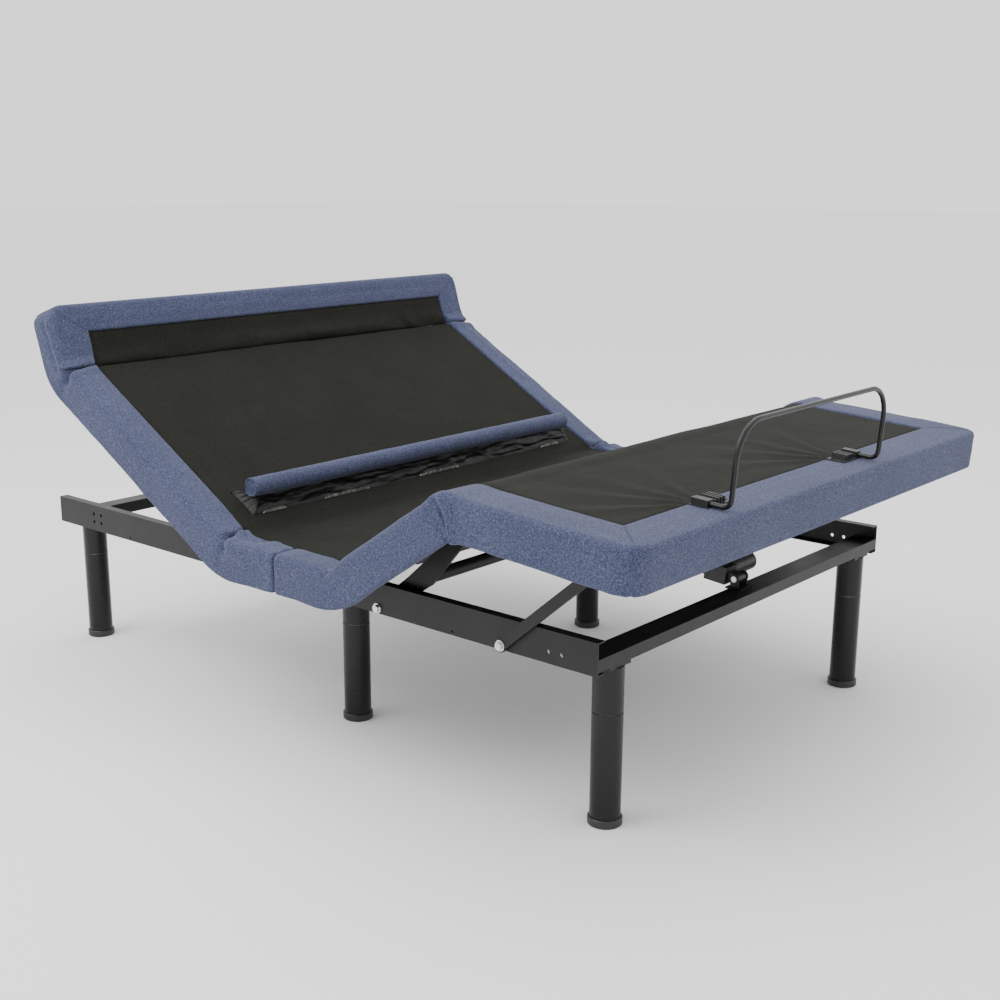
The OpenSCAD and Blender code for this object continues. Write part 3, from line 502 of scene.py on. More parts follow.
def face_outward() -> None:
    """Turns the selected faces outward."""
    bpy.ops.mesh.normals_make_consistent(inside=False)


def name_piece(name: str, material: Material) -> Piece:
    """Names the active piece and gives it its finish.

    Args:
        name: The piece's name.
        material: Its finish.

    Returns:
        The piece.
    """
    piece = bpy.context.active_object
    piece.name = name
    piece.data.name = name
    piece.data.materials.clear()
    piece.data.materials.append(material)
    return piece


def settle_piece(piece: Piece) -> None:
    """Puts the object at the origin, unturned and unscaled, with its place in its mesh."""
    bpy.context.view_layer.update()
    piece.data.transform(piece.matrix_world)
    piece.matrix_world.identity()


def smooth_piece(piece: Piece, angle: float = 40.0) -> None:
    """Smooths a piece, with edges sharper than an angle kept crisp.

    Args:
        piece: The piece.
        angle: The angle in degrees.
    """
    activate(piece)
    bpy.ops.object.shade_smooth_by_angle(angle=math.radians(angle))


def laid_grid(name: str, points: Array, material: Material, wrapped: bool) -> Piece:
    """Adds a grid and lays it over a net of points.

    Args:
        name: The piece's name.
        points: The net, rows by columns by 3, in metres.
        material: Its finish.
        wrapped: Whether the last column joins the first, with the ends closed.

    Returns:
        The piece.
    """
    rows, columns = points.shape[:2]
    begin_piece()
    bpy.ops.mesh.primitive_grid_add(x_subdivisions=columns - 1, y_subdivisions=rows - 1, size=1.0)
    piece = name_piece(name, material)
    if len(piece.data.vertices) != rows * columns:
        raise RuntimeError(f"{name}: grid has {len(piece.data.vertices)} points, not {rows * columns}")
    piece.data.vertices.foreach_set("co", np.ascontiguousarray(points, dtype=np.float32).ravel())
    piece.data.update()
    if wrapped:
        edit_mesh(merge_doubles, close_ends, face_outward)
    return piece


def finish_modifier(piece: Piece, kind: str, **settings: object) -> None:
    """Adds a modifier and applies it.

    Args:
        piece: The piece.
        kind: The modifier's type.
        **settings: Its settings.
    """
    activate(piece)
    modifier = piece.modifiers.new(kind.lower(), kind)
    for key, value in settings.items():
        setattr(modifier, key, value)
    bpy.ops.object.modifier_apply(modifier=modifier.name)


def report_sheet(piece: Piece, width: float, length: float) -> None:
    """Reports a sheet and its flat size, given in metres."""
    faces = len(piece.data.polygons)
    LOG.info("%s: %d faces, flat %.0f by %.0f mm", piece.name, faces, width / MM, length / MM)


def step(low: float, high: float, value: Array) -> Array:
    """A smooth step from 0 at low to 1 at high."""
    t = np.clip((value - low) / (high - low), 0.0, 1.0)
    return t * t * (3.0 - 2.0 * t)


def noise_field(one: Array, two: Array, seed: float, depth: int = 3) -> Array:
    """Smooth noise over two coordinates.

    Args:
        one: The first coordinate, in noise cells.
        two: The second coordinate, in noise cells.
        seed: A fixed offset that picks the pattern.
        depth: How many octaves.

    Returns:
        Values about from -1 to 1.
    """
    flat_one, flat_two = np.broadcast_arrays(one, two)
    pairs = zip(flat_one.ravel(), flat_two.ravel())
    values = [noise.fractal((a, b, seed), 0.9, 2.1, depth) for a, b in pairs]
    return np.array(values).reshape(flat_one.shape)


def inner_half(end: End, along: Array) -> Array:
    """Half the width between the border's inner edges.

    Args:
        end: The end of the bed.
        along: Distance from the middle of the seat.

    Returns:
        The half width in millimetres.
    """
    if end is End.HEAD:
        return 690.0 - 16.0 * step(60, 320, along) - 10.0 * step(840, 960, along)
    return 690.0 - 40.0 * step(300, 590, along)


def net_normals(points: Array) -> Array:
    """Unit normals of a net of points, rows by columns by 3."""
    down = np.gradient(points, axis=0)
    across = np.gradient(points, axis=1)
    normal = np.cross(down, across)
    return normal / np.maximum(np.linalg.norm(normal, axis=2, keepdims=True), 1e-12)


# ---- the deck's line


@dataclass
class Bend:
    """A hinge of the deck: where it is along the deck, and how the next section lies."""

    at: float
    angle: float
    zone_top: float
    zone_bottom: float
    early: float = 0.0
    y: float = 0.0
    z: float = 0.0


@dataclass
class DeckLine:
    """The deck from the middle of the seat to one end, bent at its hinges."""

    end: End
    bends: list[Bend] = field(default_factory=list)

    def __post_init__(self) -> None:
        """Works out where each hinge stands."""
        y, z, angle, last = SEAT_Y, HINGE_Z, 0.0, 0.0
        for bend in self.bends:
            y += self.end.value * (bend.at - last) * math.cos(math.radians(angle))
            z += (bend.at - last) * math.sin(math.radians(angle))
            bend.y, bend.z = y, z
            angle, last = bend.angle, bend.at

    def rigid(self, index: int, along: Array, height: Array) -> Array:
        """Places points as if they all rode on one section.

        Args:
            index: 0 for the seat, then one for each hinge.
            along: Distance from the middle of the seat.
            height: Height above the hinge line, square to the deck.

        Returns:
            Y and Z, stacked last, in millimetres.
        """
        if index == 0:
            return np.stack([SEAT_Y + self.end.value * along, HINGE_Z + height], axis=-1)
        bend = self.bends[index - 1]
        c, s = math.cos(math.radians(bend.angle)), math.sin(math.radians(bend.angle))
        u = along - bend.at
        reach = self.end.value * (u * c - height * s)
        return np.stack([bend.y + reach, bend.z + u * s + height * c], axis=-1)

    def lay(self, x: Array, along: Array, height: Array) -> Array:
        """Places points on the bent deck.

        Args:
            x: Place across the bed.
            along: Distance from the middle of the seat.
            height: Height above the hinge line, square to the deck.

        Returns:
            The points, in metres.
        """
        x, along, height = np.broadcast_arrays(x, along, height)
        placed = self.rigid(0, along, height)
        share = np.clip((TOP - height) / (TOP - SKIRT_BOTTOM), 0, 1)
        for index, bend in enumerate(self.bends, start=1):
            zone = bend.zone_top + (bend.zone_bottom - bend.zone_top) * share
            t = np.clip((along - bend.at + bend.early * (1 - share) + zone) / (2 * zone), 0, 1)
            weight = (t * t * (3 - 2 * t))[..., None]
            placed = placed * (1 - weight) + self.rigid(index, along, height) * weight
        return np.concatenate([x[..., None], placed], axis=-1) * MM

    def blend(self, piece: Piece, hinge: int, bodies: tuple[str, str]) -> None:
        """Bakes a cloth piece's placement into its mesh; it does no blending between the bodies at the hinge.

        Args:
            piece: The piece, with its final mesh.
            hinge: 0 for the hinge at the seat, 1 for the outer one. Not used.
            bodies: The inner and the outer body of this end. Not used.
        """
        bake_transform(piece)


HEAD_LINE = DeckLine(
    End.HEAD,
    [
        Bend(SEAT_HALF, BACK_ANGLE, 26, 100, -10),
        Bend(SEAT_HALF + BACK_LEN, TILT_ANGLE, 14, 85, 13),
    ],
)
FOOT_LINE = DeckLine(
    End.FOOT,
    [
        Bend(SEAT_HALF, THIGH_ANGLE, 60, 115),
        Bend(SEAT_HALF + THIGH_LEN, FOOT_ANGLE, 62, 46),
    ],
)


@dataclass(frozen=True)
class Fold:
    """A soft ridge or valley between two points of the border, as (along, round) pairs."""

    start: tuple[float, float]
    stop: tuple[float, float]
    depth: float
    width: float

    def over(self, along: Array, around: Array) -> Array:
        """How far the fold lifts each point.

        Args:
            along: Distance from the middle of the seat.
            around: Distance round the border from its inner edge.

        Returns:
            The lift in millimetres.
        """
        a, b = np.array(self.start, float), np.array(self.stop, float)
        d = b - a
        length = max(float(d @ d), 1e-9)
        t = np.clip(((along - a[0]) * d[0] + (around - a[1]) * d[1]) / length, 0, 1)
        gap = np.hypot(along - a[0] - t * d[0], around - a[1] - t * d[1])
        return self.depth * np.exp(-((gap / self.width) ** 2))


# ---- the padded border


@dataclass
class PaddedBorder:
    """The padded cloth border of one end of the deck, a U that is cut at the middle of the seat."""

    line: DeckLine
    length: float
    end_strip: float
    corner: float
    folds: list[Fold]
    seed: float
    bodies: tuple[str, str]
    covers: tuple[str, str, str]
    shallow_end: bool = False
    side_strip: float = 112.0
    skirt: float = 20.0
    gap: float = 1.5
    pitch: float = 6.5
    split_at: float = 0.0

    def profile(self) -> tuple[Array, Array, Array]:
        """The closed outline of the border, from its inner edge over the top and down the skirt.

        Returns:
            Depth in from the outside as a share from 0 to 1 or as a distance below 1 skirt,
            height above the hinge line, and distance round the visible face (-1 where hidden).
        """
        strip, wall = self.side_strip, self.skirt
        points: list[tuple[float, float, float]] = []
        points += [(strip, UNDER_PAD, 0.0), (strip, 17.0, 0.5), (strip - 0.4, 20.5, 1.0)]
        points += [(strip - 1.6, 22.8, 2.0), (strip - 4.0, TOP, 4.0)]
        for depth in np.arange(strip - 9, 16, -5.5):
            points.append((depth, TOP, strip - depth))
        round_top = 13.0
        for turn in np.linspace(0, 90, 7):
            a = math.radians(turn)
            depth = round_top - round_top * math.sin(a)
            height = TOP - round_top + round_top * math.cos(a)
            points.append((depth, height, strip - 13 + turn / 4.5))
        for height in np.arange(5.5, SKIRT_BOTTOM + 8, -5.5):
            points.append((0.0, height, strip + TOP - height - 6))
        round_low = 7.0
        for turn in np.linspace(0, 90, 4):
            a = math.radians(turn)
            depth = round_low - round_low * math.cos(a)
            height = SKIRT_BOTTOM + round_low - round_low * math.sin(a)
            points.append((depth, height, strip + 82 + turn / 9))
        points += [(wall - 4, SKIRT_BOTTOM, -1), (wall, SKIRT_BOTTOM + 4, -1)]
        for height in np.linspace(SKIRT_BOTTOM + 20, UNDER_PAD - 6, 5):
            points.append((wall, height, -1))
        for depth in np.linspace(wall, strip - 8, 6):
            points.append((depth, UNDER_PAD, -1))
        points.append((strip, UNDER_PAD, 0.0))
        table = np.array(points)
        return table[:, 0], table[:, 1], table[:, 2]

    def outside(self) -> tuple[Array, Array, Array, Array, Array, Array]:
        """The outer line in plan, its inward direction and the matching inner line.

        Returns:
            Outer x and along, inward x and along, and inner x and along.
        """
        half, r = HALF_WIDTH, self.corner
        inner_end = self.length - self.end_strip
        last_half = float(inner_half(self.line.end, np.array(inner_end)))
        rows: list[tuple[float, ...]] = []
        straight = self.length - r
        start = self.gap
        near_end = [start, start + 1.2, start + 3.2, start + 6.0, start + 10.0]
        body = np.linspace(start + 15.0, straight, int((straight - start - 15) / self.pitch))
        for along in list(near_end) + list(body):
            near = self.inner_along(along, straight, inner_end)
            rows.append((-half, along, 1, 0, -float(inner_half(self.line.end, np.array(near))), near))
        corner_turns = np.linspace(0, 90, 20)[1:]
        for turn in corner_turns:
            c, s = math.cos(math.radians(turn)), math.sin(math.radians(turn))
            rows.append((-half + r - r * c, straight + r * s, c, -s, -last_half, inner_end))
        across = np.linspace(-half + r, half - r, int(2 * (half - r) / self.pitch))[1:]
        for x in across:
            rows.append((x, self.length, 0, -1, x * last_half / (half - r), inner_end))
        for turn in corner_turns:
            c, s = math.cos(math.radians(90 - turn)), math.sin(math.radians(90 - turn))
            rows.append((half - r + r * c, straight + r * s, -c, -s, last_half, inner_end))
        for along in list(body)[::-1][1:] + near_end[::-1]:
            near = self.inner_along(along, straight, inner_end)
            rows.append((half, along, -1, 0, float(inner_half(self.line.end, np.array(near))), near))
        table = np.array(rows)
        return tuple(table[:, i] for i in range(6))

    @staticmethod
    def inner_along(along: float, straight: float, inner_end: float) -> float:
        """Draws the last rows of the inner edge together, so that they end at the inner corner.

        Args:
            along: Place on the outer edge.
            straight: Where the outer corner begins.
            inner_end: Where the inner edge ends.

        Returns:
            The place on the inner edge.
        """
        start = inner_end - 90.0
        if along <= start:
            return along
        return start + (inner_end - start) * (along - start) / (straight - start)

    def net(self) -> Array:
        """The whole border as a net of points, in metres."""
        depth, height, around = self.profile()
        ox, oa, dx, da, ix, ia = (v[:, None] for v in self.outside())
        depth, height, around = depth[None, :], height[None, :], around[None, :]
        wall = self.skirt
        t = np.clip((depth - wall) / (self.side_strip - wall), 0, 1)
        shell = np.minimum(depth, wall)
        x = ox + dx * shell
        along = oa + da * shell
        x = x * (1 - t) + ix * t
        along = along * (1 - t) + ia * t
        height, around = (np.broadcast_to(v, x.shape) for v in (height, around))
        if self.shallow_end:
            lift = step(0.0, 1.0, (oa - (self.length - 40)) / 30) * (1 - step(612, 640, np.abs(ox)))
            low = np.clip((UNDER_PAD - 20 - height) / (UNDER_PAD - 20 - SKIRT_BOTTOM), 0, 1)
            height = height + lift * low * SHALLOW_END_RISE
        from_end = np.clip((oa - self.gap) / 11.0, 0, 1)
        end_round = 9.0 * (1 - np.sqrt(np.clip(1 - (1 - from_end) ** 2, 0, 1)))
        outer = (around > 0) & (around < 400)
        height = np.where(outer & (height > 0), height - end_round * height / TOP, height)
        height = np.where(height < -40, height + end_round, height)
        drawn_in = np.sign(x) * end_round * np.clip(1 - depth / 40, 0, 1)
        x = np.where(outer & (np.abs(x) > HALF_WIDTH - 40), x - drawn_in, x)
        points = self.line.lay(x, along, height)
        normals = net_normals(points)
        face = np.clip(around, 0, 400)
        lift = np.zeros_like(x)
        for fold in self.folds:
            lift += fold.over(along, face)
        far = np.broadcast_to(ox > 0, x.shape)
        lift += 1.5 * noise_field(along / 120, face / 90 + far * 31, self.seed)
        lift += 0.45 * noise_field(along / 28, face / 28 + far * 17, self.seed + 5)
        lift += 1.6 * np.sin(np.clip(face / self.side_strip, 0, 1) * math.pi)
        lift *= step(1.0, 9.0, face)
        lift[:, around[0] < 0] = 0.0
        turn = np.abs(np.abs(dx) - np.abs(da))
        lift -= 1.6 * np.exp(-((turn / 0.09) ** 2)) * step(2, 12, face)
        lift += 0.7 * np.exp(-(((turn - 0.28) / 0.16) ** 2)) * step(2, 12, face)
        if np.sum(normals[:, 8, 2]) <= 0:
            normals = -normals
        points = points + normals * (lift[..., None] * MM)
        return points

    def build(self, cloth: Material, thread: Material) -> list[Piece]:
        """Makes the border in three pieces and its corner stitching.

        Args:
            cloth: The border's cloth.
            thread: The stitching's thread.

        Returns:
            The pieces.
        """
        points = self.net()
        outer_along = self.outside()[1]
        rows = len(outer_along)
        left = int(np.argmax(outer_along > self.split_at))
        right = rows - 1 - int(np.argmax(outer_along[::-1] > self.split_at))
        side = side_of(self.line.end)
        spans = (
            (f"border_{side}_left", 0, left),
            (f"border_{side}_end", left, right),
            (f"border_{side}_right", right, rows - 1),
        )
        made = []
        for name, low, high in spans:
            piece = laid_grid(name, points[low : high + 1], cloth, True)
            smooth_piece(piece, 50)
            whole = "end" in name
            self.line.blend(piece, int(whole), self.bodies)
            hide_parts(*(self.covers[1:] if whole else self.covers[:2]))
            made.append(piece)
            LOG.info("%s: %d faces", name, len(piece.data.polygons))
        made.append(self.stitching(points, side, thread))
        return made

    def stitching(self, points: Array, side: str, thread: Material) -> Piece:
        """Two rows of stitches on each side of the corner seams.

        Args:
            points: The border's net.
            side: The end's name.
            thread: The thread.

        Returns:
            The stitches, in one piece.
        """
        around = self.profile()[2]
        visible = [i for i, a in enumerate(around) if 5 < a < self.side_strip + 80]
        outer_x, outer_along = self.outside()[:2]
        r = self.corner
        spots: list[tuple[Vector, Vector]] = []
        for sign in (-1, 1):
            middle_x = sign * (HALF_WIDTH - r + r * 0.7071)
            middle_a = self.length - r + r * 0.7071
            row = int(np.argmin((outer_x - middle_x) ** 2 + (outer_along - middle_a) ** 2))
            for offset in (-1, 1):
                seam = points[row] * 0.45 + points[row + offset] * 0.55
                line_points = [Vector(seam[i]) for i in visible]
                travel = 0.0
                for a, b in zip(line_points, line_points[1:]):
                    gap = (b - a).length
                    while travel < gap:
                        spots.append((a.lerp(b, travel / gap), (b - a).normalized()))
                        travel += 0.0048
                    travel -= gap
        begin_piece()
        bpy.ops.mesh.primitive_uv_sphere_add(segments=6, ring_count=4, radius=0.00075)
        pattern = bpy.context.active_object
        pattern.scale = (1, 1, 2.2)
        settle_piece(pattern)
        made = []
        for spot, way in spots:
            copy = pattern.copy() if made else pattern
            if made:
                copy.data = pattern.data.copy()
                bpy.context.collection.objects.link(copy)
            copy.matrix_world = way.to_track_quat("Z", "Y").to_matrix().to_4x4()
            copy.location = spot
            made.append(copy)
        join_pieces(made)
        piece = name_piece(f"border_{side}_stitches", thread)
        settle_piece(piece)
        smooth_piece(piece, 60)
        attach(piece, self.bodies[1])
        LOG.info("%s: %d stitches", piece.name, len(spots))
        return piece


# ---- the deck sheets


@dataclass
class DeckSheet:
    """The thin charcoal sheet inside the border of one end, in two lengths that meet under load."""

    line: DeckLine
    start: float
    stop: float
    split_at: float
    relief: Callable[[Array, Array], Array]
    bodies: tuple[str, str]
    half: float = 652.0
    height: float = 21.0
    pitch_x: float = 9.0
    pitch_along: float = 7.0
    slot: tuple[float, float, float] | None = None
    hem: float = 0.0

    def build(self, cloth: Material) -> list[Piece]:
        """Makes the sheet in two pieces.

        Args:
            cloth: The sheet's cloth.

        Returns:
            The pieces.
        """
        if self.slot:
            low, high, _ = self.slot
            rows = self.spaced(self.start, low) + list(np.linspace(low, high, 12))[1:]
            rows += self.spaced(high, self.split_at)[1:]
        else:
            rows = self.spaced(self.start, self.split_at)
        cut = len(rows) - 1
        rows += self.spaced(self.split_at, self.stop)[1:]
        along = np.array(rows)[:, None]
        x = np.linspace(-self.half, self.half, int(2 * self.half / self.pitch_x))[None, :]
        reach = inner_half(self.line.end, along) + SHEET_TUCK
        wide = x * reach / self.half
        edge = np.minimum(self.half - np.abs(x), self.stop - along)
        height = self.height - 4.0 * (1 - step(0, 7, edge)) + self.relief(x, along) * step(0, 26, edge)
        height = height + self.hem * (1 - step(0, 12, along - self.start))
        points = self.line.lay(wide, along, height)
        side = side_of(self.line.end)
        made = []
        for whole, (low, high) in enumerate(((0, cut), (cut, len(rows) - 1))):
            name = f"deck_sheet_{side}_{'end' if whole else 'seat'}"
            net = points[low : high + 1]
            if self.line.end is End.FOOT:
                net = net[:, ::-1]
            piece = laid_grid(name, net, cloth, False)
            if self.slot and not whole:
                self.cut_slot(piece)
            area = sum(p.area for p in piece.data.polygons)
            finish_modifier(piece, "SOLIDIFY", thickness=0.0012, offset=-1.0)
            smooth_piece(piece, 60)
            self.line.blend(piece, whole, self.bodies)
            width = 2 * float(np.max(reach[low : high + 1])) * MM
            length = float(along[high, 0] - along[low, 0]) * MM
            area = min(area, width * length)
            made.append(piece)
            report_sheet(piece, width, length)
        return made

    def spaced(self, low: float, high: float) -> list[float]:
        """Rows from low to high, about one pitch apart."""
        return list(np.linspace(low, high, max(3, int((high - low) / self.pitch_along))))

    def cut_slot(self, piece: Piece) -> None:
        """Cuts the opening for the lumbar skirt.

        Args:
            piece: The length of sheet that lies over the skirt.
        """
        low, high, half = self.slot
        bend = self.line.bends[0]
        c, s = math.cos(math.radians(bend.angle)), math.sin(math.radians(bend.angle))
        bpy.ops.object.mode_set(mode="EDIT")
        bpy.ops.mesh.select_mode(type="FACE")
        bpy.ops.mesh.select_all(action="DESELECT")
        bpy.ops.object.mode_set(mode="OBJECT")
        for polygon in piece.data.polygons:
            centre = polygon.center
            u = (centre.y / MM - bend.y) * c + (centre.z / MM - bend.z) * s
            polygon.select = low < u + bend.at < high and abs(centre.x) < half * MM
        bpy.ops.object.mode_set(mode="EDIT")
        bpy.ops.mesh.delete(type="FACE")
        bpy.ops.object.mode_set(mode="OBJECT")


TILT_PLEATS = (
    (-128.0, 0.30, 6.0), (330.0, 0.45, 6.5), (470.0, -0.5, 5.0), (60.0, -0.25, 3.0), (585.0, 0.8, 6.0),
)
BRACKET_FOLDS = (
    (-1.10, 6.0, 0.09), (-0.62, 4.0, 0.10), (-0.15, 2.6, 0.12), (0.42, 3.4, 0.10), (1.0, 5.0, 0.10),
)


def head_relief(x: Array, along: Array) -> Array:
    """Slack of the head sheet: bulges over the tilt hinge and faint waves elsewhere.

    Args:
        x: Place across.
        along: Distance from the middle of the seat.

    Returns:
        Lift in millimetres.
    """
    hinge = SEAT_HALF + BACK_LEN
    near = np.exp(-(((along - hinge - 14) / 26) ** 2))
    bulge = 0.75 + 1.1 * noise_field(x / 220, along / 90, 3.7, 2)
    pleats = np.zeros(np.broadcast(x, along).shape)
    for place, lean, depth in TILT_PLEATS:
        gap = x - place - lean * (along - hinge)
        pleats += -depth * np.exp(-((gap / 10) ** 2)) + depth * 0.8 * np.exp(-(((gap - 26) / 22) ** 2))
    crease = -5.0 * np.exp(-(((along - hinge + 12) / 6) ** 2))
    lift = near * (9.0 * bulge + pleats) + crease
    lift += 1.3 * noise_field(x / 210, along / 160, 11.0, 3)
    lift += 0.35 * noise_field(x / 34, along / 34, 5.0, 2)
    seat = np.exp(-(((along - 112) / 46) ** 2))
    lift += seat * 3.4 * noise_field(x / 230, along / 26, 8.2, 2)
    return lift


def foot_relief(x: Array, along: Array) -> Array:
    """Slack of the foot sheet: folds that fan out from the retainer's brackets.

    Args:
        x: Place across.
        along: Distance from the middle of the seat.

    Returns:
        Lift in millimetres.
    """
    edge = FOOT_LENGTH - 96
    lift = 1.4 * noise_field(x / 190, along / 150, 21.0, 3)
    lift = lift + 0.35 * noise_field(x / 30, along / 30, 2.5, 2)
    for place in (RETAINER_X - RETAINER_HALF, RETAINER_X + RETAINER_HALF):
        across, back = x - place, edge - along + 6
        reach = np.hypot(across, back)
        turn = np.arctan2(across, np.maximum(back, 0.5))
        fade = np.exp(-reach / 210) * step(8, 40, reach)
        for way, depth, width in BRACKET_FOLDS:
            lift = lift + depth * fade * np.exp(-(((turn - way) / width) ** 2))
            lift = lift - 0.7 * depth * fade * np.exp(-(((turn - way - 2.0 * width) / width) ** 2))
    knee = np.exp(-(((along - SEAT_HALF - THIGH_LEN) / 60) ** 2))
    lift += knee * 1.5 * noise_field(x / 260, along / 60, 14.0, 2)
    seat = np.exp(-(((along - SEAT_HALF) / 50) ** 2))
    lift += seat * 2.5 * noise_field(x / 240, along / 30, 18.0, 2)
    return lift


# ---- lumbar support


@dataclass
class LumbarSupport:
    """The cloth-covered lumbar roll and the pleated skirt under it."""

    line: DeckLine
    rim_half: float = 622.0
    rim_low: float = 62.0
    rim_high: float = 152.0

    def frame_point(self, x: Array, u: Array, v: Array) -> Array:
        """Places points that ride on the back, in metres."""
        x, u, v = np.broadcast_arrays(x, u, v)
        placed = self.line.rigid(1, u + SEAT_HALF, v)
        return np.concatenate([x[..., None], placed], axis=-1) * MM

    def roll(self, cloth: Material) -> Piece:
        """The roll, with a rounded welt round each end panel.

        Args:
            cloth: Its cloth.

        Returns:
            The roll.
        """
        marks = [(0.0, 0.01), (0.0, 8.0), (0.0, 15.0), (0.0, 18.5), (-1.2, 20.0), (-2.4, 21.2), (-1.6, 22.6)]
        marks += [(0.6, 23.6), (2.6, 24.0), (5.0, 23.5), (7.5, 23.2)]
        rows = [(-ROLL_HALF + 2.4 + x, r) for x, r in marks]
        rows += [(x, ROLL_R - 0.6) for x in np.linspace(-ROLL_HALF + 16, ROLL_HALF - 16, 180)]
        rows += [(ROLL_HALF - 2.4 - x, r) for x, r in marks[::-1]]
        table = np.array(rows)
        turns = np.linspace(0, 2 * math.pi, 49)[None, :]
        x, r = table[:, :1], table[:, 1:]
        body = step(14, 22, r)
        wave = 0.55 * noise_field(x / 60, np.cos(turns) * 1.5 + 4, 2.0)
        wave = (wave + 0.35 * noise_field(x / 16, np.sin(turns) * 2, 9.0)) * body
        wave[:, -1] = wave[:, 0]
        r = r + wave
        net = self.frame_point(x, ROLL_U + r * np.cos(turns), ROLL_V + r * np.sin(turns))
        piece = laid_grid("lumbar_roll_cover", net, cloth, True)
        smooth_piece(piece, 70)
        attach(piece, "lumbar")
        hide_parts("lumbar_roll")
        LOG.info("%s: %d faces", piece.name, len(piece.data.polygons))
        return piece

    def skirt(self, cloth: Material) -> Piece:
        """The creased skirt between the deck sheet and the roll.

        Args:
            cloth: Its cloth.

        Returns:
            The skirt.
        """
        count = 720
        loop = []
        for i in range(count + 1):
            t = (i % count) / count * 4
            side = int(t)
            f = t - side
            loop.append(((-1 + 2 * f, -1), (1, -1 + 2 * f), (1 - 2 * f, 1), (-1, 1 - 2 * f))[side])
        ring = np.array(loop)
        px, pu = ring[:, 0][None, :], ring[:, 1][None, :]
        levels = np.linspace(0, 1, 15)[:, None]
        half = self.rim_half + (ROLL_HALF - 10 - self.rim_half) * levels
        rim_middle, rim_reach = (self.rim_low + self.rim_high) / 2, (self.rim_high - self.rim_low) / 2
        middle = rim_middle + (ROLL_U - rim_middle) * levels
        reach = rim_reach + (ROLL_R - 2.2 - rim_reach) * levels
        x = px * half
        u = middle + pu * reach
        v = 19.0 + (ROLL_V - 12 - 19.0) * levels
        free = np.sin(np.pi * np.clip(levels, 0, 1)) ** 0.7
        pucker = 6.5 * noise_field(px * 9, levels * 3.4 + pu * 7, 4.4, 4) * free
        sag = 5.0 * free
        end = step(0.96, 1.0, np.abs(px))
        u = u + np.sign(pu) * (pucker - sag * 0.4) * (1 - end) * np.abs(pu)
        x = x - np.sign(px) * end * (sag * 0.8 - 0.3 * pucker)
        v = v + (2.2 * noise_field(px * 14, levels * 2 + pu * 3, 7.7, 3) - 1.5) * free
        net = self.frame_point(x, u, v)
        piece = laid_grid("lumbar_skirt", net, cloth, False)
        edit_mesh(merge_doubles, face_outward)
        area = sum(p.area for p in piece.data.polygons)
        finish_modifier(piece, "SOLIDIFY", thickness=0.0008, offset=-1.0)
        smooth_piece(piece, 80)
        anchor = self.frame_point(np.array(0.0), np.array(ROLL_U), np.array(20.0))
        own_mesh(piece)
        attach(piece, "back")
        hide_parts("lumbar_bellows")
        round_length = 2 * (2 * self.rim_half + self.rim_high - self.rim_low) * MM
        fall = area / round_length
        report_sheet(piece, round_length, fall)
        return piece

    def tapes(self, film: Material) -> Piece:
        """Short lengths of film along the skirt's bottom front edge.

        Args:
            film: The film.

        Returns:
            The tapes, in one piece.
        """
        made = []
        for low, high in ((-594, -520), (-392, -236), (-44, 112), (478, 560)):
            x = np.linspace(low, high, int((high - low) / 4))[None, :]
            rise = np.linspace(0, 1, 5)[:, None]
            ripple = 1.4 * noise_field(x / 18, rise * 1.5, 6.1)
            end = np.sin(np.clip((x - low) / (high - low), 0, 1) * math.pi) ** 0.25
            u = self.rim_low - 3.0 + rise * 3.4 + ripple * 0.5
            net = self.frame_point(x, u, 22.4 + rise * 7.5 * end)
            made.append(laid_grid(f"tape_{low}", net, film, False))
        join_pieces(made)
        piece = name_piece("skirt_tapes", film)
        finish_modifier(piece, "SOLIDIFY", thickness=0.0005, offset=0.0)
        smooth_piece(piece, 60)
        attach(piece, "back")
        LOG.info("%s: %d faces", piece.name, len(piece.data.polygons))
        return piece


# ---- frame finishes


METAL_WORDS = ("pin", "bolt", "stud", "_rod")
PLASTIC_WORDS = ("glides", "box", "inlet", "motor", "brackets", "shoes", "housing")


@dataclass
class SteelAndPlastic:
    """Finishes of the pieces that keep their own shape."""

    coat: Material
    leg_coat: Material
    zinc: Material
    plastic: Material
    wire: Material
    board: Material

    def finish_of(self, name: str) -> Material:
        """Picks a piece's finish.

        Args:
            name: The piece's name.

        Returns:
            Its finish.
        """
        if name.endswith("_board"):
            return self.board
        if name in ("upper_legs", "lower_legs"):
            return self.leg_coat
        if name == "retainer_bar":
            return self.wire
        if any(word in name for word in METAL_WORDS):
            return self.zinc
        if name != "leg_brackets" and any(word in name for word in PLASTIC_WORDS):
            return self.plastic
        return self.coat

    def dress(self) -> None:
        """Gives every kept piece its finish."""
        for name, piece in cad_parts.items():
            piece.data.materials.clear()
            piece.data.materials.append(self.finish_of(name))
        LOG.info("dressed %d kept pieces", len(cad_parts))


# ---- room, light and camera


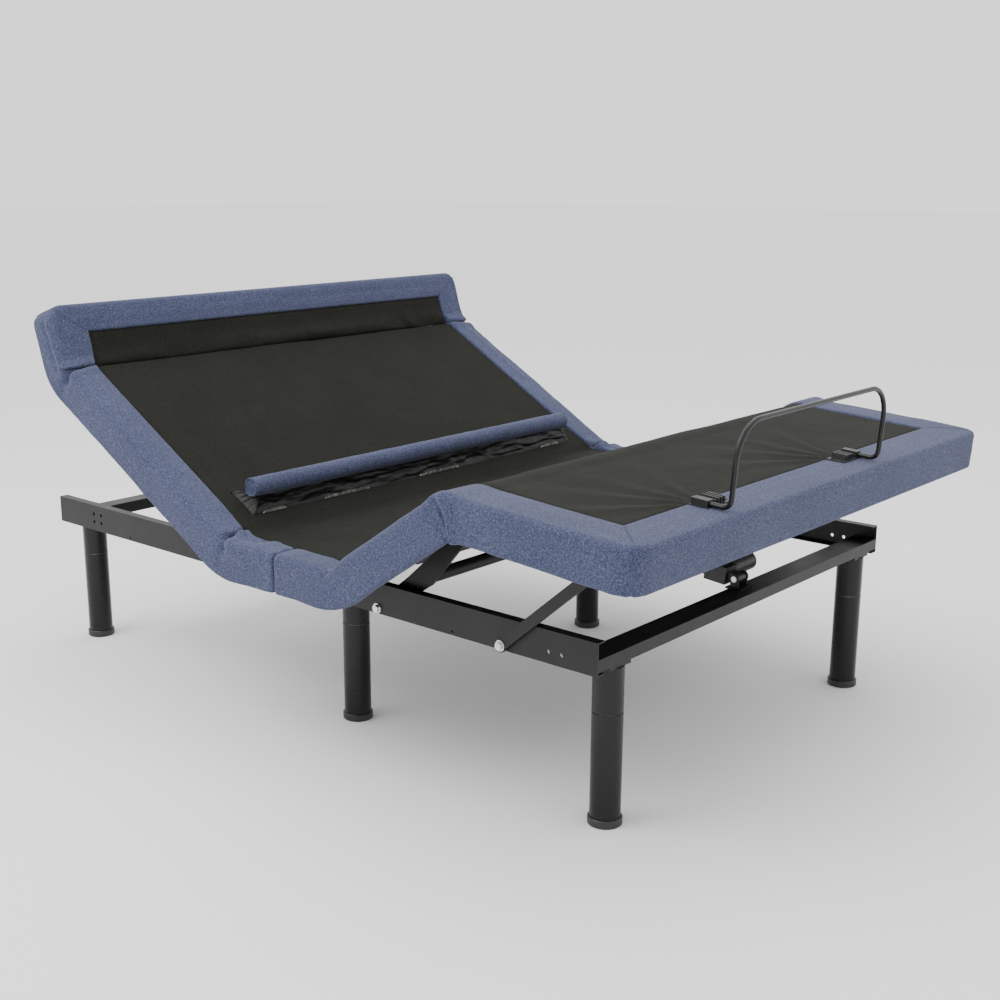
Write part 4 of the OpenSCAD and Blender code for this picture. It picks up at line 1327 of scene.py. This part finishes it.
@dataclass
class Studio:
    """A pale flat floor, soft light and the camera."""

    def backdrop(self) -> None:
        """Makes the floor."""
        begin_piece()
        bpy.ops.mesh.primitive_plane_add(size=60, location=(8, 8, 0))
        floor = name_piece("studio_floor", self.paper())
        settle_piece(floor)

    def paper(self) -> Material:
        """Matte pale paper."""
        bench = NodeBench("backdrop_paper", 0.9)
        bench.shader.inputs["Base Color"].default_value = (0.93, 0.93, 0.93, 1)
        bench.shader.inputs["Specular IOR Level"].default_value = 0.0
        return bench.material

    def lamp(
        self, name: str, place: Sequence[float], aim: Sequence[float], size: float, power: float
    ) -> None:
        """Adds a soft square lamp.

        Args:
            name: Its name.
            place: Where it stands.
            aim: What it faces.
            size: Side of the square.
            power: Power in watts.
        """
        light = bpy.data.lights.new(name, "AREA")
        light.size = size
        light.energy = power
        stand = bpy.data.objects.new(name, light)
        bpy.context.collection.objects.link(stand)
        stand.location = place
        stand.rotation_euler = (Vector(aim) - Vector(place)).to_track_quat("-Z", "Y").to_euler()

    def light(self) -> None:
        """Sets the white surround and the lamps."""
        world = bpy.data.worlds.new("white_room")
        bpy.context.scene.world = world
        world.use_nodes = True
        world.node_tree.nodes["Background"].inputs[0].default_value = (1, 1, 1, 1)
        world.node_tree.nodes["Background"].inputs[1].default_value = 1.5
        self.lamp("key", (-2.6, 1.2, 3.6), (0, -0.1, 0.5), 2.6, 90)
        self.lamp("top", (0.4, -0.4, 4.4), (0, 0, 0.4), 3.4, 60)

    def camera(self) -> None:
        """Sets up the camera."""
        data = bpy.data.cameras.new("view")
        data.lens = 49.61
        data.sensor_width = 36.0
        data.shift_x = 0.0317
        data.shift_y = 0.0136
        stand = bpy.data.objects.new("view", data)
        bpy.context.collection.objects.link(stand)
        stand.location = (-2.6803, -2.3352, 1.3214)
        stand.rotation_euler = (math.radians(75.86), 0.0, math.radians(-48.54))
        bpy.context.scene.camera = stand


HEAD_FOLDS = [
    Fold((190, -4), (186, 60), -12, 7),
    Fold((186, 60), (176, 128), -8, 8),
    Fold((166, -8), (162, 50), 12, 15),
    Fold((162, 50), (150, 112), 5, 16),
    Fold((210, 4), (206, 90), 5, 15),
    Fold((104, -4), (112, 50), -7, 17),
    Fold((52, 4), (58, 80), 5, 22),
    Fold((176, 128), (182, 158), -4, 12),
    Fold((140, 118), (96, 150), 2.5, 12),
    Fold((882, -4), (868, 108), -14, 8),
    Fold((905, -2), (896, 108), 10, 13),
    Fold((862, 2), (846, 100), 5, 14),
    Fold((868, 108), (862, 136), -12, 8),
    Fold((862, 136), (860, 182), -5, 10),
    Fold((900, 118), (1018, 130), 6.0, 7),
    Fold((904, 142), (1020, 152), -4.5, 8),
    Fold((936, 40), (990, 70), 2.5, 16),
    Fold((840, 60), (560, 66), 2.2, 18),
]
FOOT_FOLDS = [
    Fold((188, 0), (184, 110), -3.0, 20),
    Fold((562, 112), (576, 152), -9, 7),
    Fold((576, 152), (590, 210), -13, 8),
    Fold((586, 120), (606, 206), 9, 13),
    Fold((546, 128), (556, 190), -5, 15),
    Fold((556, 110), (596, 112), 3.0, 16),
    Fold((40, 8), (48, 90), 3.0, 24),
]


def main() -> None:
    """Builds the looks in order and reports each piece."""
    logging.basicConfig(level=logging.INFO, format="%(message)s")
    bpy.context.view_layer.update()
    cloth = HeatherCloth().build()
    sheet_cloth = DeckSheetCloth().build()
    thread = SewingThread().build()
    kept = SteelAndPlastic(
        coat=PowderCoat().build(),
        leg_coat=PowderCoat("leg_coat", (0.005, 0.005, 0.0055), 0.22, 0.32).build(),
        zinc=ZincPlate().build(),
        plastic=MouldedPlastic().build(),
        wire=PowderCoat("wire_coat", (0.010, 0.010, 0.011), 0.2, 0.26).build(),
        board=DarkBoard().build(),
    )
    kept.dress()
    lumbar = LumbarSupport(HEAD_LINE)
    PaddedBorder(
        HEAD_LINE, HEAD_LENGTH, HEAD_END_STRIP, 38, HEAD_FOLDS, 1.3, ("back", "tilt"),
        ("seat_cover", "back_cover", "tilt_cover"), shallow_end=True, split_at=HEAD_SPLIT,
    ).build(cloth, thread)
    PaddedBorder(
        FOOT_LINE, FOOT_LENGTH, FOOT_END_STRIP, 52, FOOT_FOLDS, 7.9, ("thigh", "foot"),
        ("seat_cover", "thigh_cover", "foot_cover"), split_at=FOOT_SPLIT,
    ).build(cloth, thread)
    DeckSheet(
        HEAD_LINE, -6.0, HEAD_LENGTH - HEAD_END_STRIP + SHEET_TUCK, HEAD_SPLIT, head_relief,
        ("back", "tilt"), height=20.2,
        slot=(SEAT_HALF + lumbar.rim_low, SEAT_HALF + lumbar.rim_high, lumbar.rim_half + 2.0),
    ).build(sheet_cloth)
    DeckSheet(
        FOOT_LINE, -8.0, FOOT_LENGTH - FOOT_END_STRIP + SHEET_TUCK, FOOT_SPLIT, foot_relief,
        ("thigh", "foot"), height=21.6, hem=1.4,
    ).build(sheet_cloth)
    lumbar.roll(cloth)
    lumbar.skirt(SkirtCloth().build())
    lumbar.tapes(ClearTape().build())
    studio = Studio()
    studio.backdrop()
    studio.light()
    studio.camera()


if __name__ == "__main__":
    main()
